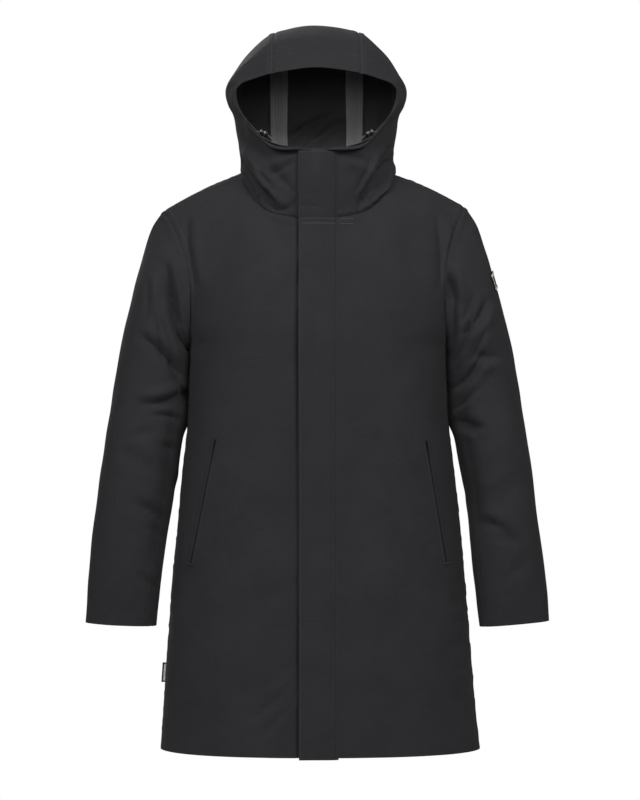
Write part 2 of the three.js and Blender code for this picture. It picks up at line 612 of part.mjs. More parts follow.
function addHoodInside() {
  const { firstRow, lastRow, edge } = LINING;
  const top = -WALL - LAID_GAP;
  const lining = (name, first, last, firstShift, lastShift) => {
    const layer = (out) => steps(lastRow - firstRow).map((j) => steps(last - first).map((i) => {
      const shift = i === 0 ? firstShift : (i === last - first ? lastShift : 0);
      return onPanel(hood, firstRow + j, first + i + shift, out);
    }));
    solid(name, layer(top), layer(top - THIN), hood.facing, 'lining');
  };
  const gap = 0.01;
  lining('hood_lining_right', edge, SEAMS.right, 0, -gap);
  lining('hood_lining_centre', SEAMS.right, SEAMS.left, gap, -gap);
  lining('hood_lining_left', SEAMS.left, NECK_LOOP - edge, gap, 0);
  const under = top - THIN - LAID_GAP;
  Object.entries(SEAMS).forEach(([side, column]) => {
    const layer = (out) => steps(TAPE.lastRow - TAPE.firstRow - 1).map((j) => (
      [-1, 0, 1].map((k) => onPanel(hood, TAPE.firstRow + j, column + k * TAPE.halfWidth, out))
    ));
    solid(`hood_tape_${side}`, layer(under), layer(under - THIN), hood.facing, 'tape');
  });
}

function addCords() {
  ['right', 'left'].forEach((side) => {
    const points = CORDS.filter((row) => row.side === side).map(({ x, y, z }) => new THREE.Vector3(x, y, z));
    const line = new THREE.CatmullRomCurve3(points, false, 'catmullrom', 0.5);
    const circle = new THREE.Shape().absarc(0, 0, CORD.radius, 0, 2 * Math.PI);
    const tube = new THREE.ExtrudeGeometry(circle, {
      extrudePath: line, steps: CORD.steps, curveSegments: CORD.sides / 2, bevelEnabled: false,
    });
    add(`hood_cord_${side}`, tube, 'cord');
    const half = LOCK.length / 2;
    const profile = [[LOCK.bore, -half], [LOCK.radius, -half], [LOCK.radius, half], [LOCK.bore, half], [LOCK.bore, -half]];
    const lock = new THREE.LatheGeometry(profile.map(([r, y]) => new THREE.Vector2(r, y)), 16);
    const at = line.getPointAt(0.36);
    const turn = new THREE.Quaternion().setFromUnitVectors(new THREE.Vector3(0, 1, 0), line.getTangentAt(0.36));
    lock.applyQuaternion(turn).translate(at.x, at.y, at.z);
    add(`cord_lock_${side}`, lock, 'plastic');
  });
}

function addLabels(sleeves) {
  const stops = ([first, last]) => {
    const whole = steps(Math.ceil(last)).filter((k) => k > first && k < last);
    return [first, ...whole, last];
  };
  const patch = (name, panel, rows, columns, colour) => {
    const layer = (out) => stops(rows).map((j) => stops(columns).map((i) => onPanel(panel, j, i, out)));
    solid(name, layer(LAID_GAP + THIN), layer(LAID_GAP), panel.facing, colour);
  };
  const sleeve = sleeves[PATCH.side === 'right' ? 0 : 1];
  patch('sleeve_patch', sleeve, [PATCH.firstRow, PATCH.lastRow], [PATCH.first, PATCH.last], 'label');
  const rowOf = (z) => (z - HEM_Z) / (ARMPIT_Z - HEM_Z) * HEM_TO_ARMPIT;
  // The folded label stands out of the wearer's right side seam
  const face = (y) => [SIDE_LABEL.bottom, SIDE_LABEL.top].map((z) => {
    const seam = onPanel(frontRight, rowOf(z), FRONT_COLUMNS, 0);
    return [SIDE_LABEL.near, SIDE_LABEL.far].map((out) => new THREE.Vector3(seam.x - out, y, z));
  });
  solid('side_label', face(-SIDE_LABEL.thick / 2), face(SIDE_LABEL.thick / 2), -1, 'label');
}

const sleeves = addBody();
addClosure();
addPockets();
addHoodInside();
addCords();
addLabels(sleeves);

export default group;
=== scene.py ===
"""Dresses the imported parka: cloth with folds, seams and stitching, trims, materials, lights and camera.

Sizes are in millimetres in the tables and in metres in Blender. +X is the wearer's left, -Y the front, +Z up.
"""

from __future__ import annotations

import json
import logging
import math
from dataclasses import dataclass
from enum import Enum
from typing import Iterable, Sequence

import bpy
import numpy as np
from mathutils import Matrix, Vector
from mathutils.kdtree import KDTree

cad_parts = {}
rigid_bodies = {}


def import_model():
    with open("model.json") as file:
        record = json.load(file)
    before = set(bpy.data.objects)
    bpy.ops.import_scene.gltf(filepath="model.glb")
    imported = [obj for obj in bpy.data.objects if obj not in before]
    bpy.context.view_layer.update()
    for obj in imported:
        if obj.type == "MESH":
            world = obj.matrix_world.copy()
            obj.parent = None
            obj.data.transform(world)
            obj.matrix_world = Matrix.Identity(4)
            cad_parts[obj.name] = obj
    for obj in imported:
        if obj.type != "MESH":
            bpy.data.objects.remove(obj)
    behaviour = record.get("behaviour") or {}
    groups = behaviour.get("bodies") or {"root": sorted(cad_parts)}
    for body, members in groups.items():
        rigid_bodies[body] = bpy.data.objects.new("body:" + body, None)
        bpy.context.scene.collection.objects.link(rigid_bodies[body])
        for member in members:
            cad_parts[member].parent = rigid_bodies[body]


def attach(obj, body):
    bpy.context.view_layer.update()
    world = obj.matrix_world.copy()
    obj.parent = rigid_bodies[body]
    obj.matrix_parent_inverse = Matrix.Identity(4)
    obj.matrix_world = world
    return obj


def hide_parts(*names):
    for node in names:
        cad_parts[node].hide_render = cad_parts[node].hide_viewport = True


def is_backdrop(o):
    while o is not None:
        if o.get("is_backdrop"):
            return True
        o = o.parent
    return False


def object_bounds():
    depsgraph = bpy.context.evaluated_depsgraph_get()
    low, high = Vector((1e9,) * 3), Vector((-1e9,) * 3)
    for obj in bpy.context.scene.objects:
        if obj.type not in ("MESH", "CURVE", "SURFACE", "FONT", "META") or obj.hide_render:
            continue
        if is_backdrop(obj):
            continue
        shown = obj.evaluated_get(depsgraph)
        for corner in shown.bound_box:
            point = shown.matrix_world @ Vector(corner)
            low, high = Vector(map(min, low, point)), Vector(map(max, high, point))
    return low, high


LOG = logging.getLogger("parka")
MM = 0.001

# Sizes shared with the solids

WALL = 1.3
THIN = 0.8
BAG_WALL = 0.6
LABEL_WALL = 0.5
ROUNDNESS = 2.25
SLEEVE_ROUNDNESS = 2.2
FRONT_GAP = 3.0
HEM_TO_ARMPIT = 17
ARMHOLE = 11
FRONT_NECK = 6
SHOULDER = 5
NECK_LOOP = 26
HOOD_ROWS = 20
CHIN_ROW = 6
SLEEVE_ROWS = 22
ROWS = HEM_TO_ARMPIT + ARMHOLE
FRONT_COLUMNS = FRONT_NECK + SHOULDER
HALF_BACK = NECK_LOOP // 2 - FRONT_NECK + SHOULDER
SEAM_COLUMNS = {"right": 10, "left": 16}
UNDER_FIRST = 20
UNDER_LAST = 24
HEM_Z = -908.0
ARMPIT_Z = -272.0

BODY = np.array([
    # z, right, left, front, back
    [-908, 246, 256, 132, 132],
    [-846, 242, 249.5, 130, 130],
    [-768, 237, 243.5, 128, 127],
    [-691, 231.6, 237.5, 126, 124],
    [-620, 226, 231.5, 125, 121],
    [-540, 218, 224.5, 124, 119],
    [-468, 211.5, 216, 124, 119],
    [-393, 204, 208, 125, 121],
    [-328, 202, 205.5, 126, 124],
    [-272, 200.5, 203.5, 126, 126],
], float)
BODY_COLUMN = {"right": 1, "left": 2, "front": 3, "back": 4}

ARMHOLES = {
    # x from the centre plane, y, z, from the armpit to the shoulder point
    ("right", "front"): [
        (200.5, 0, -272), (198, -32, -260), (196, -52, -230), (197, -60, -192),
        (201, -58, -156), (214, -44, -112), (230, -22, -80), (242, -2, -60),
    ],
    ("right", "back"): [
        (200.5, 0, -272), (201, 34, -258), (203, 56, -222), (207, 62, -176),
        (213, 56, -136), (223, 40, -102), (234, 18, -76), (242, -2, -60),
    ],
    ("left", "front"): [
        (203.5, 0, -272), (201, -32, -260), (199, -52, -230), (199, -60, -190),
        (202, -57, -148), (210, -44, -112), (223, -22, -76), (233, -2, -54),
    ],
    ("left", "back"): [
        (203.5, 0, -272), (204, 34, -258), (205, 56, -222), (207, 62, -176),
        (211, 56, -134), (218, 40, -98), (227, 18, -71), (233, -2, -54),
    ],
}

SLEEVES = {
    # outer x, outer z, inner x, inner z, half depth, middle y
    "right": [
        (242, -60, 200.5, -272, 62, -1), (260, -84, 201.6, -284, 69, 4),
        (275, -127, 202.2, -300, 75, 9), (287.5, -174, 202.8, -318, 79, 12),
        (299, -222, 203.2, -338, 80, 13), (308.5, -268, 203.9, -360, 79, 13),
        (318.5, -322, 204.5, -386, 77, 11), (329.5, -386, 213, -425, 73, 6),
        (341, -474, 224, -497, 66, -2), (352.5, -567, 237, -583, 57, -9),
        (360.4, -648, 247, -655, 48, -13), (364.7, -709, 252.8, -714, 38, -15),
    ],
    "left": [
        (233, -54, 203.5, -272, 62, -1), (252, -80, 204.6, -284, 69, 4),
        (268, -122, 205.3, -300, 75, 9), (281.5, -171, 206, -318, 79, 12),
        (293.5, -216, 206.8, -338, 80, 13), (305, -265, 207.6, -360, 79, 13),
        (315.5, -320, 208.4, -386, 77, 11), (326.5, -386, 218, -425, 73, 6),
        (339.5, -474, 230.5, -497, 66, -2), (351, -567, 240.5, -583, 57, -9),
        (360.3, -648, 248, -657, 48, -13), (365.8, -706, 254.5, -715.5, 38, -15),
    ],
}

HOOD_STATIONS = np.array([0, 0.1, 0.2, 0.3, 0.42, 0.54, 0.66, 0.78, 0.9, 1])
HOOD_SIDES = {"right": 1.0, "left": 0.985}
HOOD_GUIDES = [
    # column, then (x, y, z) at each station from the neck seam to the brim
    (0, [(3, -106, -83), (3, -110, -53), (3, -112, -16), (3, -112, 22), (42, -109, 23),
         (68, -102, 29), (86, -93, 44), (102, -84, 64), (116, -75, 86), (125, -68, 104)]),
    (3, [(76, -80, -67), (83, -80, -32), (90, -78, 2), (96, -76, 30), (102, -72, 50),
         (109, -67, 64), (119, -62, 79), (129, -60, 94), (134, -64, 109), (125, -75, 121)]),
    (6, [(120, -18, -7), (121, -10, 20), (124, -4, 45), (128, 0, 66), (130, -2, 84),
         (134, -6, 99), (141, -14, 112), (143.5, -26, 123), (136, -50, 134), (117, -82, 131)]),
    (8, [(112, 35, 0), (114, 42, 32), (118, 48, 64), (122, 50, 95), (126, 48, 122),
         (127, 38, 148), (121, 17, 169), (112, -14, 181), (102, -58, 175), (95, -92, 138)]),
    (10, [(60, 74, 2.3), (60, 80.5, 38), (61, 89.5, 74), (61, 100, 109.5), (61, 107, 148),
          (62, 97, 185), (64, 60, 211), (66, 5.5, 222), (68, -62, 199.5), (69, -107, 144)]),
    (13, [(0, 80, 3), (0, 86, 38), (0, 96, 74), (0, 108, 110), (0, 118, 150),
          (0, 108, 190), (0, 70, 221), (0, 10, 232), (0, -65, 208), (0, -115, 152)]),
]

SHOULDER_ARCH = 6.0
TOP_WAYS = {
    # the way a body column points at the centre, at the neck's side and at the shoulder point
    "front": [(0, 0.05, 1), (0, 0.85, 0.52), (0, 0.86, 0.5)],
    "back": [(0, -0.35, 0.94), (0, -0.82, -0.57), (0, -0.8, -0.6)],
}

FLAP = [(-27, 2.6), (-24, 3.2), (-13, 3.6), (0, 3.8), (16, 3.0), (27, 1.6), (33, 0.9)]  # x, out
FLAP_PULLS = [
    # z, slope, x, breadth and depth of the small pulls across the flap
    (-42, 0.1, -14, 16, 1.1), (-62, -0.12, -8, 18, 1.2), (-104, 0.3, -16, 14, 0.9),
    (-262, 0.2, 8, 18, 0.5), (-520, -0.3, -6, 20, 0.5), (-640, 0.4, 14, 16, 0.7),
    (-728, -0.5, 6, 16, 0.9), (-770, 0.6, -2, 18, 1.0), (-812, 0.5, 16, 16, 1.0),
    (-858, 0.4, 4, 18, 0.8),
]
POCKETS = {"right": ((-156.7, -421), (-195.7, -614)), "left": ((168.6, -423), (200.6, -613))}
CORDS = {
    # each cord from the cheek's edge to where it meets the edge again
    "right": [
        (-93.7, -82, 56.5), (-85.9, -85, 55.4), (-78.1, -87, 52.1),
        (-70.5, -88.5, 45), (-63.5, -90.3, 38), (-58, -92, 32.4),
    ],
    "left": [
        (92.4, -82, 56.5), (84.9, -85, 55.4), (77.1, -87, 52.1),
        (69.3, -88.5, 45), (62.3, -90.3, 38), (56.2, -92.3, 32),
    ],
}
CORD_RADIUS = 0.9
LOCK_SHARE = 0.3
LOCK_PROFILE = [
    # radius and height along the cord
    (1.2, -6.2), (3.8, -6.2), (5.0, -5.4), (5.4, -3.8), (5.1, -0.6), (4.7, 0.2), (3.7, 0.6),
    (3.7, 1.6), (4.7, 2.1), (5.0, 4.0), (4.4, 5.5), (3.2, 6.2), (1.2, 6.2),
]
LOCK_SIDES = 28
EYELETS = [(3.9, -6.3), (4.1, 1.1)]  # radius and height on the lock

DOUBLE_ROW = (2.6, 8.6)
LEAST_CUT = 0.01
LIP_CUT = 0.0101
LEAST_SHARE = 0.31

# Folds

@dataclass(frozen=True)
class Fold:
    """One soft trough (negative depth) or ridge, as a line seen from the front or the back.

    Attributes:
        piece: which surface it lies on.
        face: -1 on the front, 1 on the back.
        start, end: the line's ends in X and Z, in millimetres.
        bow: how far the middle of the line swings to its left.
        depth, width: height of the fold and half its breadth.
        lip: height of the ridge beside it, as a share of the depth.
    """

    piece: str
    face: int
    start: tuple[float, float]
    end: tuple[float, float]
    bow: float
    depth: float
    width: float
    lip: float = 0.35


FOLD_TABLE = {
    # piece and face, then start, end, bow, depth, width and lip of each fold
    ("sleeve_right", -1): [
        ((-236, -152), (-214, -240), -3, -13.5, 6.8, 0.5), ((-224, -226), (-199, -286), -2, -12.2, 6, 0.5),
        ((-254, -172), (-230, -262), -4, 6.8, 10.2), ((-264, -168), (-266, -226), 0, -3, 6),
        ((-246, -204), (-222, -282), -3, -5.4, 5.1), ((-272, -262), (-212, -320), 3, -8.8, 7.6, 0.5),
        ((-268, -366), (-202, -346), -6, -9.5, 6.8, 0.5), ((-256, -384), (-214, -390), 3, -5.4, 5.1),
        ((-296, -420), (-252, -408), 2, -2.7, 6.8), ((-284, -519), (-238, -548), 3, -6.1, 7.6, 0.5),
        ((-262, -556), (-240, -572), 2, -4.1, 6), ((-278, -632), (-252, -652), 0, -4.1, 6),
        ((-305, -440), (-250, -474), 3, -3.8, 10.2), ((-222, -372), (-246, -590), 4, -7.4, 12.8, 0.2),
        ((-226, -300), (-206, -352), -2, -6.8, 4.2, 0.5), ((-240, -430), (-218, -436), 0, -4.1, 5.1, 0.5),
        ((-236, -476), (-226, -520), 0, 3.2, 5.1), ((-252, -230), (-238, -300), -3, -3.5, 4.2, 0.5),
    ],
    ("sleeve_right", 1): [
        ((-243, -165), (-212, -268), 4, -10.8, 8.5, 0.5), ((-282, -322), (-214, -350), 4, -8.1, 8.5, 0.5),
        ((-300, -400), (-228, -388), -4, -5.4, 7.6), ((-318, -456), (-236, -498), 5, -8.8, 9.3, 0.5),
        ((-322, -520), (-262, -532), 3, -4.7, 7.6),
    ],
    ("sleeve_left", -1): [
        ((202, -160), (214, -204), 0, -12.2, 6.8, 0.5), ((208, -196), (209, -290), 3, -9, 6, 0.4),
        ((264, -208), (229, -256), 4, -9.5, 6.8, 0.5), ((244, -196), (224, -238), 3, -4.7, 5.1),
        ((280, -293), (250, -290), 2, -8.1, 6.8, 0.5), ((257, -289), (214, -341), 4, -10.1, 6.8, 0.5),
        ((258, -402), (217, -393), 2, -8.1, 6.8, 0.5), ((226, -396), (256, -420), 0, -5.4, 9.3),
        ((254, -549), (298, -566), 3, -6.8, 6.8, 0.5), ((282, -572), (313, -580), 0, -4.9, 6.8),
        ((300, -470), (262, -498), 0, 3.2, 11), ((330, -610), (292, -640), 0, -2.7, 8.5),
        ((228, -378), (252, -560), -4, -6.1, 11, 0.2), ((240, -228), (214, -300), 3, -6.8, 4.2, 0.5),
        ((262, -250), (236, -300), 3, -3.5, 4.2, 0.5), ((246, -344), (216, -372), 2, -4.7, 4.2, 0.5),
    ],
    ("sleeve_left", 1): [
        ((240, -163), (214, -264), -4, -10.8, 8.5, 0.5), ((284, -318), (216, -354), -4, -8.1, 8.5, 0.5),
        ((304, -404), (234, -392), 4, -5.4, 7.6), ((322, -460), (240, -506), -5, -8.8, 9.3, 0.5),
        ((326, -530), (268, -540), -3, -4.7, 7.6),
    ],
    ("front_right", -1): [
        ((-204, -78), (-193, -176), -4, -6.3, 6.6, 0.6), ((-84, -464), (-190, -612), 6, 3.9, 19),
        ((-60, -520), (-150, -640), 6, -2.5, 17.1), ((-34, -786), (-102, -850), 5, -3.9, 6.6, 0.6),
        ((-31, -802), (-84, -872), 4, -3.2, 5.7, 0.6), ((-32, -764), (-128, -818), 5, -1.8, 8.5),
        ((-32, -640), (-92, -668), 3, -1.8, 9.5), ((-60, -120), (-150, -180), 6, -1.7, 17.1),
    ],
    ("front_left", -1): [
        ((189, -76), (194, -176), 3, -6.3, 6.6, 0.6), ((74, -102), (140, -160), -6, -1.8, 15.2),
        ((92, -500), (190, -606), -6, 3, 19), ((60, -640), (140, -720), -4, -2.1, 17.1),
        ((236, -640), (206, -646), 0, -2.5, 5.7), ((240, -672), (208, -678), 0, -2.8, 5.7),
        ((246, -700), (214, -704), 0, -3, 5.7), ((248, -736), (212, -742), 0, -3.2, 6.6),
        ((250, -776), (216, -780), 0, -2.8, 5.7), ((252, -818), (220, -826), 0, -2.8, 6.6),
    ],
    ("back", 1): [
        ((-158, -120), (-60, -238), 10, -5.8, 15.2), ((158, -120), (60, -238), -10, -5.8, 15.2),
        ((-174, -214), (-96, -300), 8, -3.9, 12.3), ((174, -210), (92, -306), -8, -3.9, 12.3),
        ((-150, -452), (20, -498), 10, -5.1, 17.1), ((150, -524), (-10, -580), -10, -4.4, 17.1),
        ((-40, -640), (60, -820), 10, 3.9, 30.4), ((-120, -660), (-150, -850), -8, -3.4, 26.6),
        ((120, -650), (160, -860), 8, -3.4, 26.6),
    ],
    ("hood", -1): [
        ((-122, 20), (-60, -66), -4, -12, 6, 0.5), ((-112, 36), (-76, -14), -3, 5.4, 6.8),
        ((-106, -6), (-76, -52), 0, -5.1, 4.2), ((-82, -4), (-32, 16), 3, 3.9, 7.6),
        ((-84, 2), (-40, -36), 3, -3.3, 6.8), ((-118, 60), (-92, 22), -3, -3.6, 6.8),
        ((-118, -6), (-92, -52), -2, -6.8, 4.2, 0.5), ((-92, 8), (-66, -36), -2, -4.5, 4.2, 0.4),
        ((-110, 84), (-96, 46), -2, 3.3, 5.1), ((113, 32), (70, -52), 5, -11.2, 6, 0.5),
        ((98, 26), (78, -16), 0, 4.8, 6.8), ((96, -6), (72, -56), -3, -5.4, 4.2),
        ((86, -10), (46, 8), -3, 3.3, 8.5), ((116, 60), (94, 30), 3, -3.6, 6.8),
        ((104, -2), (82, -50), 3, -6, 4.2, 0.5), ((112, 12), (96, -30), 2, -5.1, 4.2, 0.5),
        ((84, 16), (62, -34), 2, -3.9, 4.2, 0.4), ((-100, -12), (-84, -35), -1, -4.2, 2.8, 0.6),
        ((-75, -38), (-64, -67), 1, -4.6, 2.8, 0.6), ((-97, -44), (-81, -30), 1, 2.6, 3),
        ((-93, -54), (-74, -41), 1, 2.2, 2.8), ((-38, 8), (-75, -12), 2, -3.2, 3.6, 0.5),
        ((-117, 26), (-101, -5), -1, 2.6, 2.8), ((-55, -70), (-32, -50), -1, -2.8, 4),
        ((115, 27), (78, -32), 3, 3, 3), ((111, 12), (79, -38), 3, -4.8, 3, 0.5),
        ((77, -38), (87, -60), 1, -3.6, 2.6, 0.6), ((70, -40), (77, -56), 0, -3, 2.4, 0.6),
        ((109, -12), (97, -42), 1, 3, 2.8), ((99, -14), (91, -35), 1, -3.6, 2.8, 0.5),
        ((68, -52), (66, -68), 0, -2.5, 2.4, 0.5), ((54, 17), (77, 9), 1, -2.6, 4),
    ],
    ("hood", 1): [
        ((-60, 18), (50, 24), 6, -4.5, 10.2), ((-74, 52), (10, 62), 5, -3.3, 10.2),
    ],
    ("lining", -1): [
        ((-52, 52), (26, 100), 5, 9, 7.2), ((0, 52), (50, 90), 5, 7.5, 7.2),
        ((-20, 46), (10, 60), 3, 6, 6.3), ((-100, 60), (-92, 120), 3, -6, 7.2),
        ((-84, 60), (-80, 124), 2, 5.1, 6.3), ((92, 60), (100, 120), -3, -6, 7.2),
        ((78, 64), (84, 124), -2, 5.1, 6.3), ((-34, 96), (40, 130), 5, -6, 9),
    ],
}
FOLDS = [Fold(piece, face, *row) for (piece, face), rows in FOLD_TABLE.items() for row in rows]

# Curves and surfaces


def pchip(knots: np.ndarray, values: np.ndarray, at: np.ndarray) -> np.ndarray:
    """Evaluates a smooth curve that never swings past its knots.

    Args:
        knots: increasing positions, K of them.
        values: values with K as the last axis.
        at: positions to evaluate, T of them.

    Returns:
        The values with T as the last axis.
    """
    knots, values, at = (np.asarray(a, float) for a in (knots, values, at))
    step = np.diff(knots)
    slope = np.diff(values, axis=-1) / step
    tangent = np.zeros_like(values)
    tangent[..., 0], tangent[..., -1] = slope[..., 0], slope[..., -1]
    before, after = 2 * step[1:] + step[:-1], step[1:] + 2 * step[:-1]
    turning = slope[..., :-1] * slope[..., 1:] > 0
    with np.errstate(divide="ignore", invalid="ignore"):
        mean = (before + after) / (before / slope[..., :-1] + after / slope[..., 1:])
    tangent[..., 1:-1] = np.where(turning, mean, 0)
    i = np.clip(np.searchsorted(knots, at, side="left") - 1, 0, len(step) - 1)
    s, h = (at - knots[i]) / step[i], step[i]
    low, high = values[..., i], values[..., i + 1]
    return (
        low * (1 + 2 * s) * (1 - s) ** 2 + high * s * s * (3 - 2 * s)
        + h * (tangent[..., i] * s * (1 - s) ** 2 - tangent[..., i + 1] * s * s * (1 - s))
    )


def run_of(points: np.ndarray) -> np.ndarray:
    """The length along a line at each of its points."""
    return np.concatenate([[0], np.cumsum(np.linalg.norm(np.diff(points, axis=0), axis=1))])


def between(at: np.ndarray | float, knots: np.ndarray, values: np.ndarray) -> np.ndarray:
    """Points or normals read between increasing knots."""
    return np.stack([np.interp(at, knots, values[:, k]) for k in range(3)], axis=-1)


def path(points: Sequence[Sequence[float]], at: np.ndarray) -> np.ndarray:
    """Points along a smooth path, at shares of its length from 0 to 1."""
    rows = np.asarray(points, float)
    along = run_of(rows)
    return pchip(along / along[-1], rows.T, at).T


def ease(t: np.ndarray) -> np.ndarray:
    """A smooth step from 0 to 1."""
    return t * t * (3 - 2 * t)


def unit(vectors: np.ndarray) -> np.ndarray:
    """Vectors of length 1."""
    return vectors / np.maximum(np.linalg.norm(vectors, axis=-1, keepdims=True), 1e-12)


def side_sign(side: str) -> int:
    """-1 for the wearer's right, 1 for the left."""
    return -1 if side == "right" else 1


class Form:
    """The parka's smooth surfaces, evaluated at fractional rows and columns of the solids' grids."""

    def hood(self, rows: np.ndarray, columns: np.ndarray) -> np.ndarray:
        """The hood from the neck seam (row 0) to the brim, columns from the right face edge round.

        Args:
            rows, columns: places in the grid.

        Returns:
            Rows by columns by 3.
        """
        lines, knots = [], []
        for side, guides in (("right", HOOD_GUIDES), ("left", HOOD_GUIDES[-2::-1])):
            for column, points in guides:
                p = np.asarray(points, float)
                wide = np.where(p[:, 0] <= FRONT_GAP, p[:, 0], p[:, 0] * HOOD_SIDES[side])
                line = np.stack([wide * side_sign(side), p[:, 1], p[:, 2]])
                lines.append(pchip(HOOD_STATIONS, line, np.asarray(rows) / HOOD_ROWS))
                knots.append(column if side == "right" else NECK_LOOP - column)
        net = np.stack(lines, axis=-1)  # axis, row, guide
        return np.moveaxis(pchip(np.array(knots), net, columns), 0, -1)

    def shoulder(self, side: str, share: np.ndarray) -> np.ndarray:
        """The shoulder seam from the neck's side to the shoulder point."""
        column = FRONT_NECK if side == "right" else NECK_LOOP - FRONT_NECK
        start = self.hood(np.array([0.0]), np.array([float(column)]))[0, 0]
        end = np.array(ARMHOLES[side, "front"][-1], float) * (side_sign(side), 1, 1)
        t = np.asarray(share)[:, None]
        return start + (end - start) * t + np.array([0, 0, 4 * SHOULDER_ARCH]) * t * (1 - t)

    def half(self, side: str, face: str, rows: np.ndarray, columns: np.ndarray) -> np.ndarray:
        """Half of a body panel, from the hem (row 0) up and from the centre line (column 0) to the side.

        Args:
            side: "right" or "left", the wearer's.
            face: "front" or "back".
            rows, columns: places in the grid.

        Returns:
            Rows by columns by 3.
        """
        front = face == "front"
        neck_columns = FRONT_NECK if front else NECK_LOOP // 2 - FRONT_NECK
        last = neck_columns + SHOULDER
        gap = FRONT_GAP if front else 0.0
        rows, columns = np.asarray(rows, float), np.asarray(columns, float)
        turn = columns / last * math.pi / 2
        across = np.clip(np.sin(turn), 0, 1) ** (2 / ROUNDNESS)
        out = np.clip(np.cos(turn), 0, 1) ** (2 / ROUNDNESS) * (-1 if front else 1)

        def section(z: np.ndarray) -> np.ndarray:
            """The half's points at some heights below the armpit."""
            wide = pchip(BODY[:, 0], BODY[:, BODY_COLUMN[side]], z)[:, None]
            deep = pchip(BODY[:, 0], BODY[:, BODY_COLUMN[face]], z)[:, None]
            x = side_sign(side) * (gap + (wide - gap) * across)
            return np.stack([x, deep * out, np.broadcast_to(z[:, None], x.shape)], axis=-1)

        low = rows[rows <= HEM_TO_ARMPIT]
        below = section(HEM_Z + (ARMPIT_Z - HEM_Z) * low / HEM_TO_ARMPIT)
        t = (rows[rows > HEM_TO_ARMPIT] - HEM_TO_ARMPIT) / ARMHOLE
        top = self.top_edge(side, face, columns, neck_columns)
        start = section(np.array([ARMPIT_Z]))[0]
        raw = [np.array(way, float) for way in TOP_WAYS[face]]
        near = ease(np.clip(columns / neck_columns, 0, 1))[:, None]
        far = np.clip((columns - neck_columns) / SHOULDER, 0, 1)[:, None]
        inner_way, outer_way = raw[0] * (1 - near) + raw[1] * near, raw[1] * (1 - far) + raw[2] * far
        reach = unit(np.where(far > 0, outer_way, inner_way))

        def rise(begin: np.ndarray, end: np.ndarray, way: np.ndarray) -> np.ndarray:
            """Curves from the armpit's height, where they stand upright, to the top edge."""
            length = np.linalg.norm(end - begin, axis=-1, keepdims=True)
            s = t[:, None, None]
            return (
                begin * (1 + 2 * s) * (1 - s) ** 2 + np.array([0, 0, 1.0]) * length * s * (1 - s) ** 2
                + end * s * s * (3 - 2 * s) - way * length * s * s * (1 - s)
            )

        edge = np.array([float(last)])
        shoulder_point = self.top_edge(side, face, edge, neck_columns)
        edge_line = rise(self.armpit(side), shoulder_point, unit(raw[2])[None])[:, 0]
        sign = np.array([side_sign(side), 1, 1])
        miss = path(np.array(ARMHOLES[side, face]) * sign, t) - edge_line
        above = rise(start, top, reach) + miss[:, None] * (columns / last)[None, :, None] ** 3
        return np.concatenate([below, above])

    def armpit(self, side: str) -> np.ndarray:
        """The point where the side seam meets the armhole."""
        return np.array([[side_sign(side) * BODY[-1, BODY_COLUMN[side]], 0.0, ARMPIT_Z]])

    def top_edge(self, side: str, face: str, columns: np.ndarray, neck_columns: int) -> np.ndarray:
        """The neckline from the centre to the neck's side, and then the shoulder seam.

        Args:
            side: "right" or "left", the wearer's.
            face: "front" or "back".
            columns: places in the grid.
            neck_columns: how many of them the neckline has.

        Returns:
            A point for each column.
        """
        inner = np.clip(columns, 0, neck_columns)
        from_edge = inner if face == "front" else NECK_LOOP / 2 - inner
        column = from_edge if side == "right" else NECK_LOOP - from_edge
        neck = self.hood(np.array([0.0]), column if np.all(np.diff(column) >= 0) else column[::-1])[0]
        if not np.all(np.diff(column) >= 0):
            neck = neck[::-1]
        share = np.clip((columns - neck_columns) / SHOULDER, 0, 1)
        return np.where((columns > neck_columns)[:, None], self.shoulder(side, share), neck)

    def back(self, rows: np.ndarray, columns: np.ndarray) -> np.ndarray:
        """The whole back, columns from the right side seam to the left one.

        Args:
            rows, columns: places in the grid.

        Returns:
            Rows by columns by 3.
        """
        columns = np.asarray(columns, float) - HALF_BACK
        right = self.half("right", "back", rows, -columns[columns <= 0][::-1])[:, ::-1]
        left = self.half("left", "back", rows, columns[columns > 0])
        return np.concatenate([right, left], axis=1)

    def armhole(self, side: str, columns: np.ndarray) -> np.ndarray:
        """The armhole seam round from the armpit by the front, as the sleeve's columns count it."""
        sign = np.array([side_sign(side), 1, 1])
        columns = np.asarray(columns, float) % (2 * ARMHOLE)
        front = path(np.array(ARMHOLES[side, "front"]) * sign, np.clip(columns / ARMHOLE, 0, 1))
        back = path(np.array(ARMHOLES[side, "back"]) * sign, np.clip(2 - columns / ARMHOLE, 0, 1))
        return np.where((columns <= ARMHOLE)[:, None], front, back)

    def sleeve(self, side: str, rows: np.ndarray, columns: np.ndarray) -> np.ndarray:
        """A sleeve from the armhole (row 0) to the cuff, columns round from the armpit by the front.

        Args:
            side: "right" or "left", the wearer's.
            rows, columns: places in the grid.

        Returns:
            Rows by columns by 3.
        """
        table = np.array(SLEEVES[side], float)
        knots = np.linspace(0, 1, len(table))
        angle = math.pi * (1 - np.asarray(columns, float) / ARMHOLE)
        power = 2 / SLEEVE_ROUNDNESS
        along = np.sign(np.cos(angle)) * np.abs(np.cos(angle)) ** power
        forward = np.sign(np.sin(angle)) * np.abs(np.sin(angle)) ** power

        def ring(s: np.ndarray) -> np.ndarray:
            """The sleeve's sections at shares of its length."""
            out_x, out_z, in_x, in_z, depth, y = pchip(knots, table.T, s)[:, :, None]
            share = (1 + along) / 2
            x = side_sign(side) * (in_x + (out_x - in_x) * share)
            return np.stack([x, y - depth * forward, in_z + (out_z - in_z) * share], axis=-1)

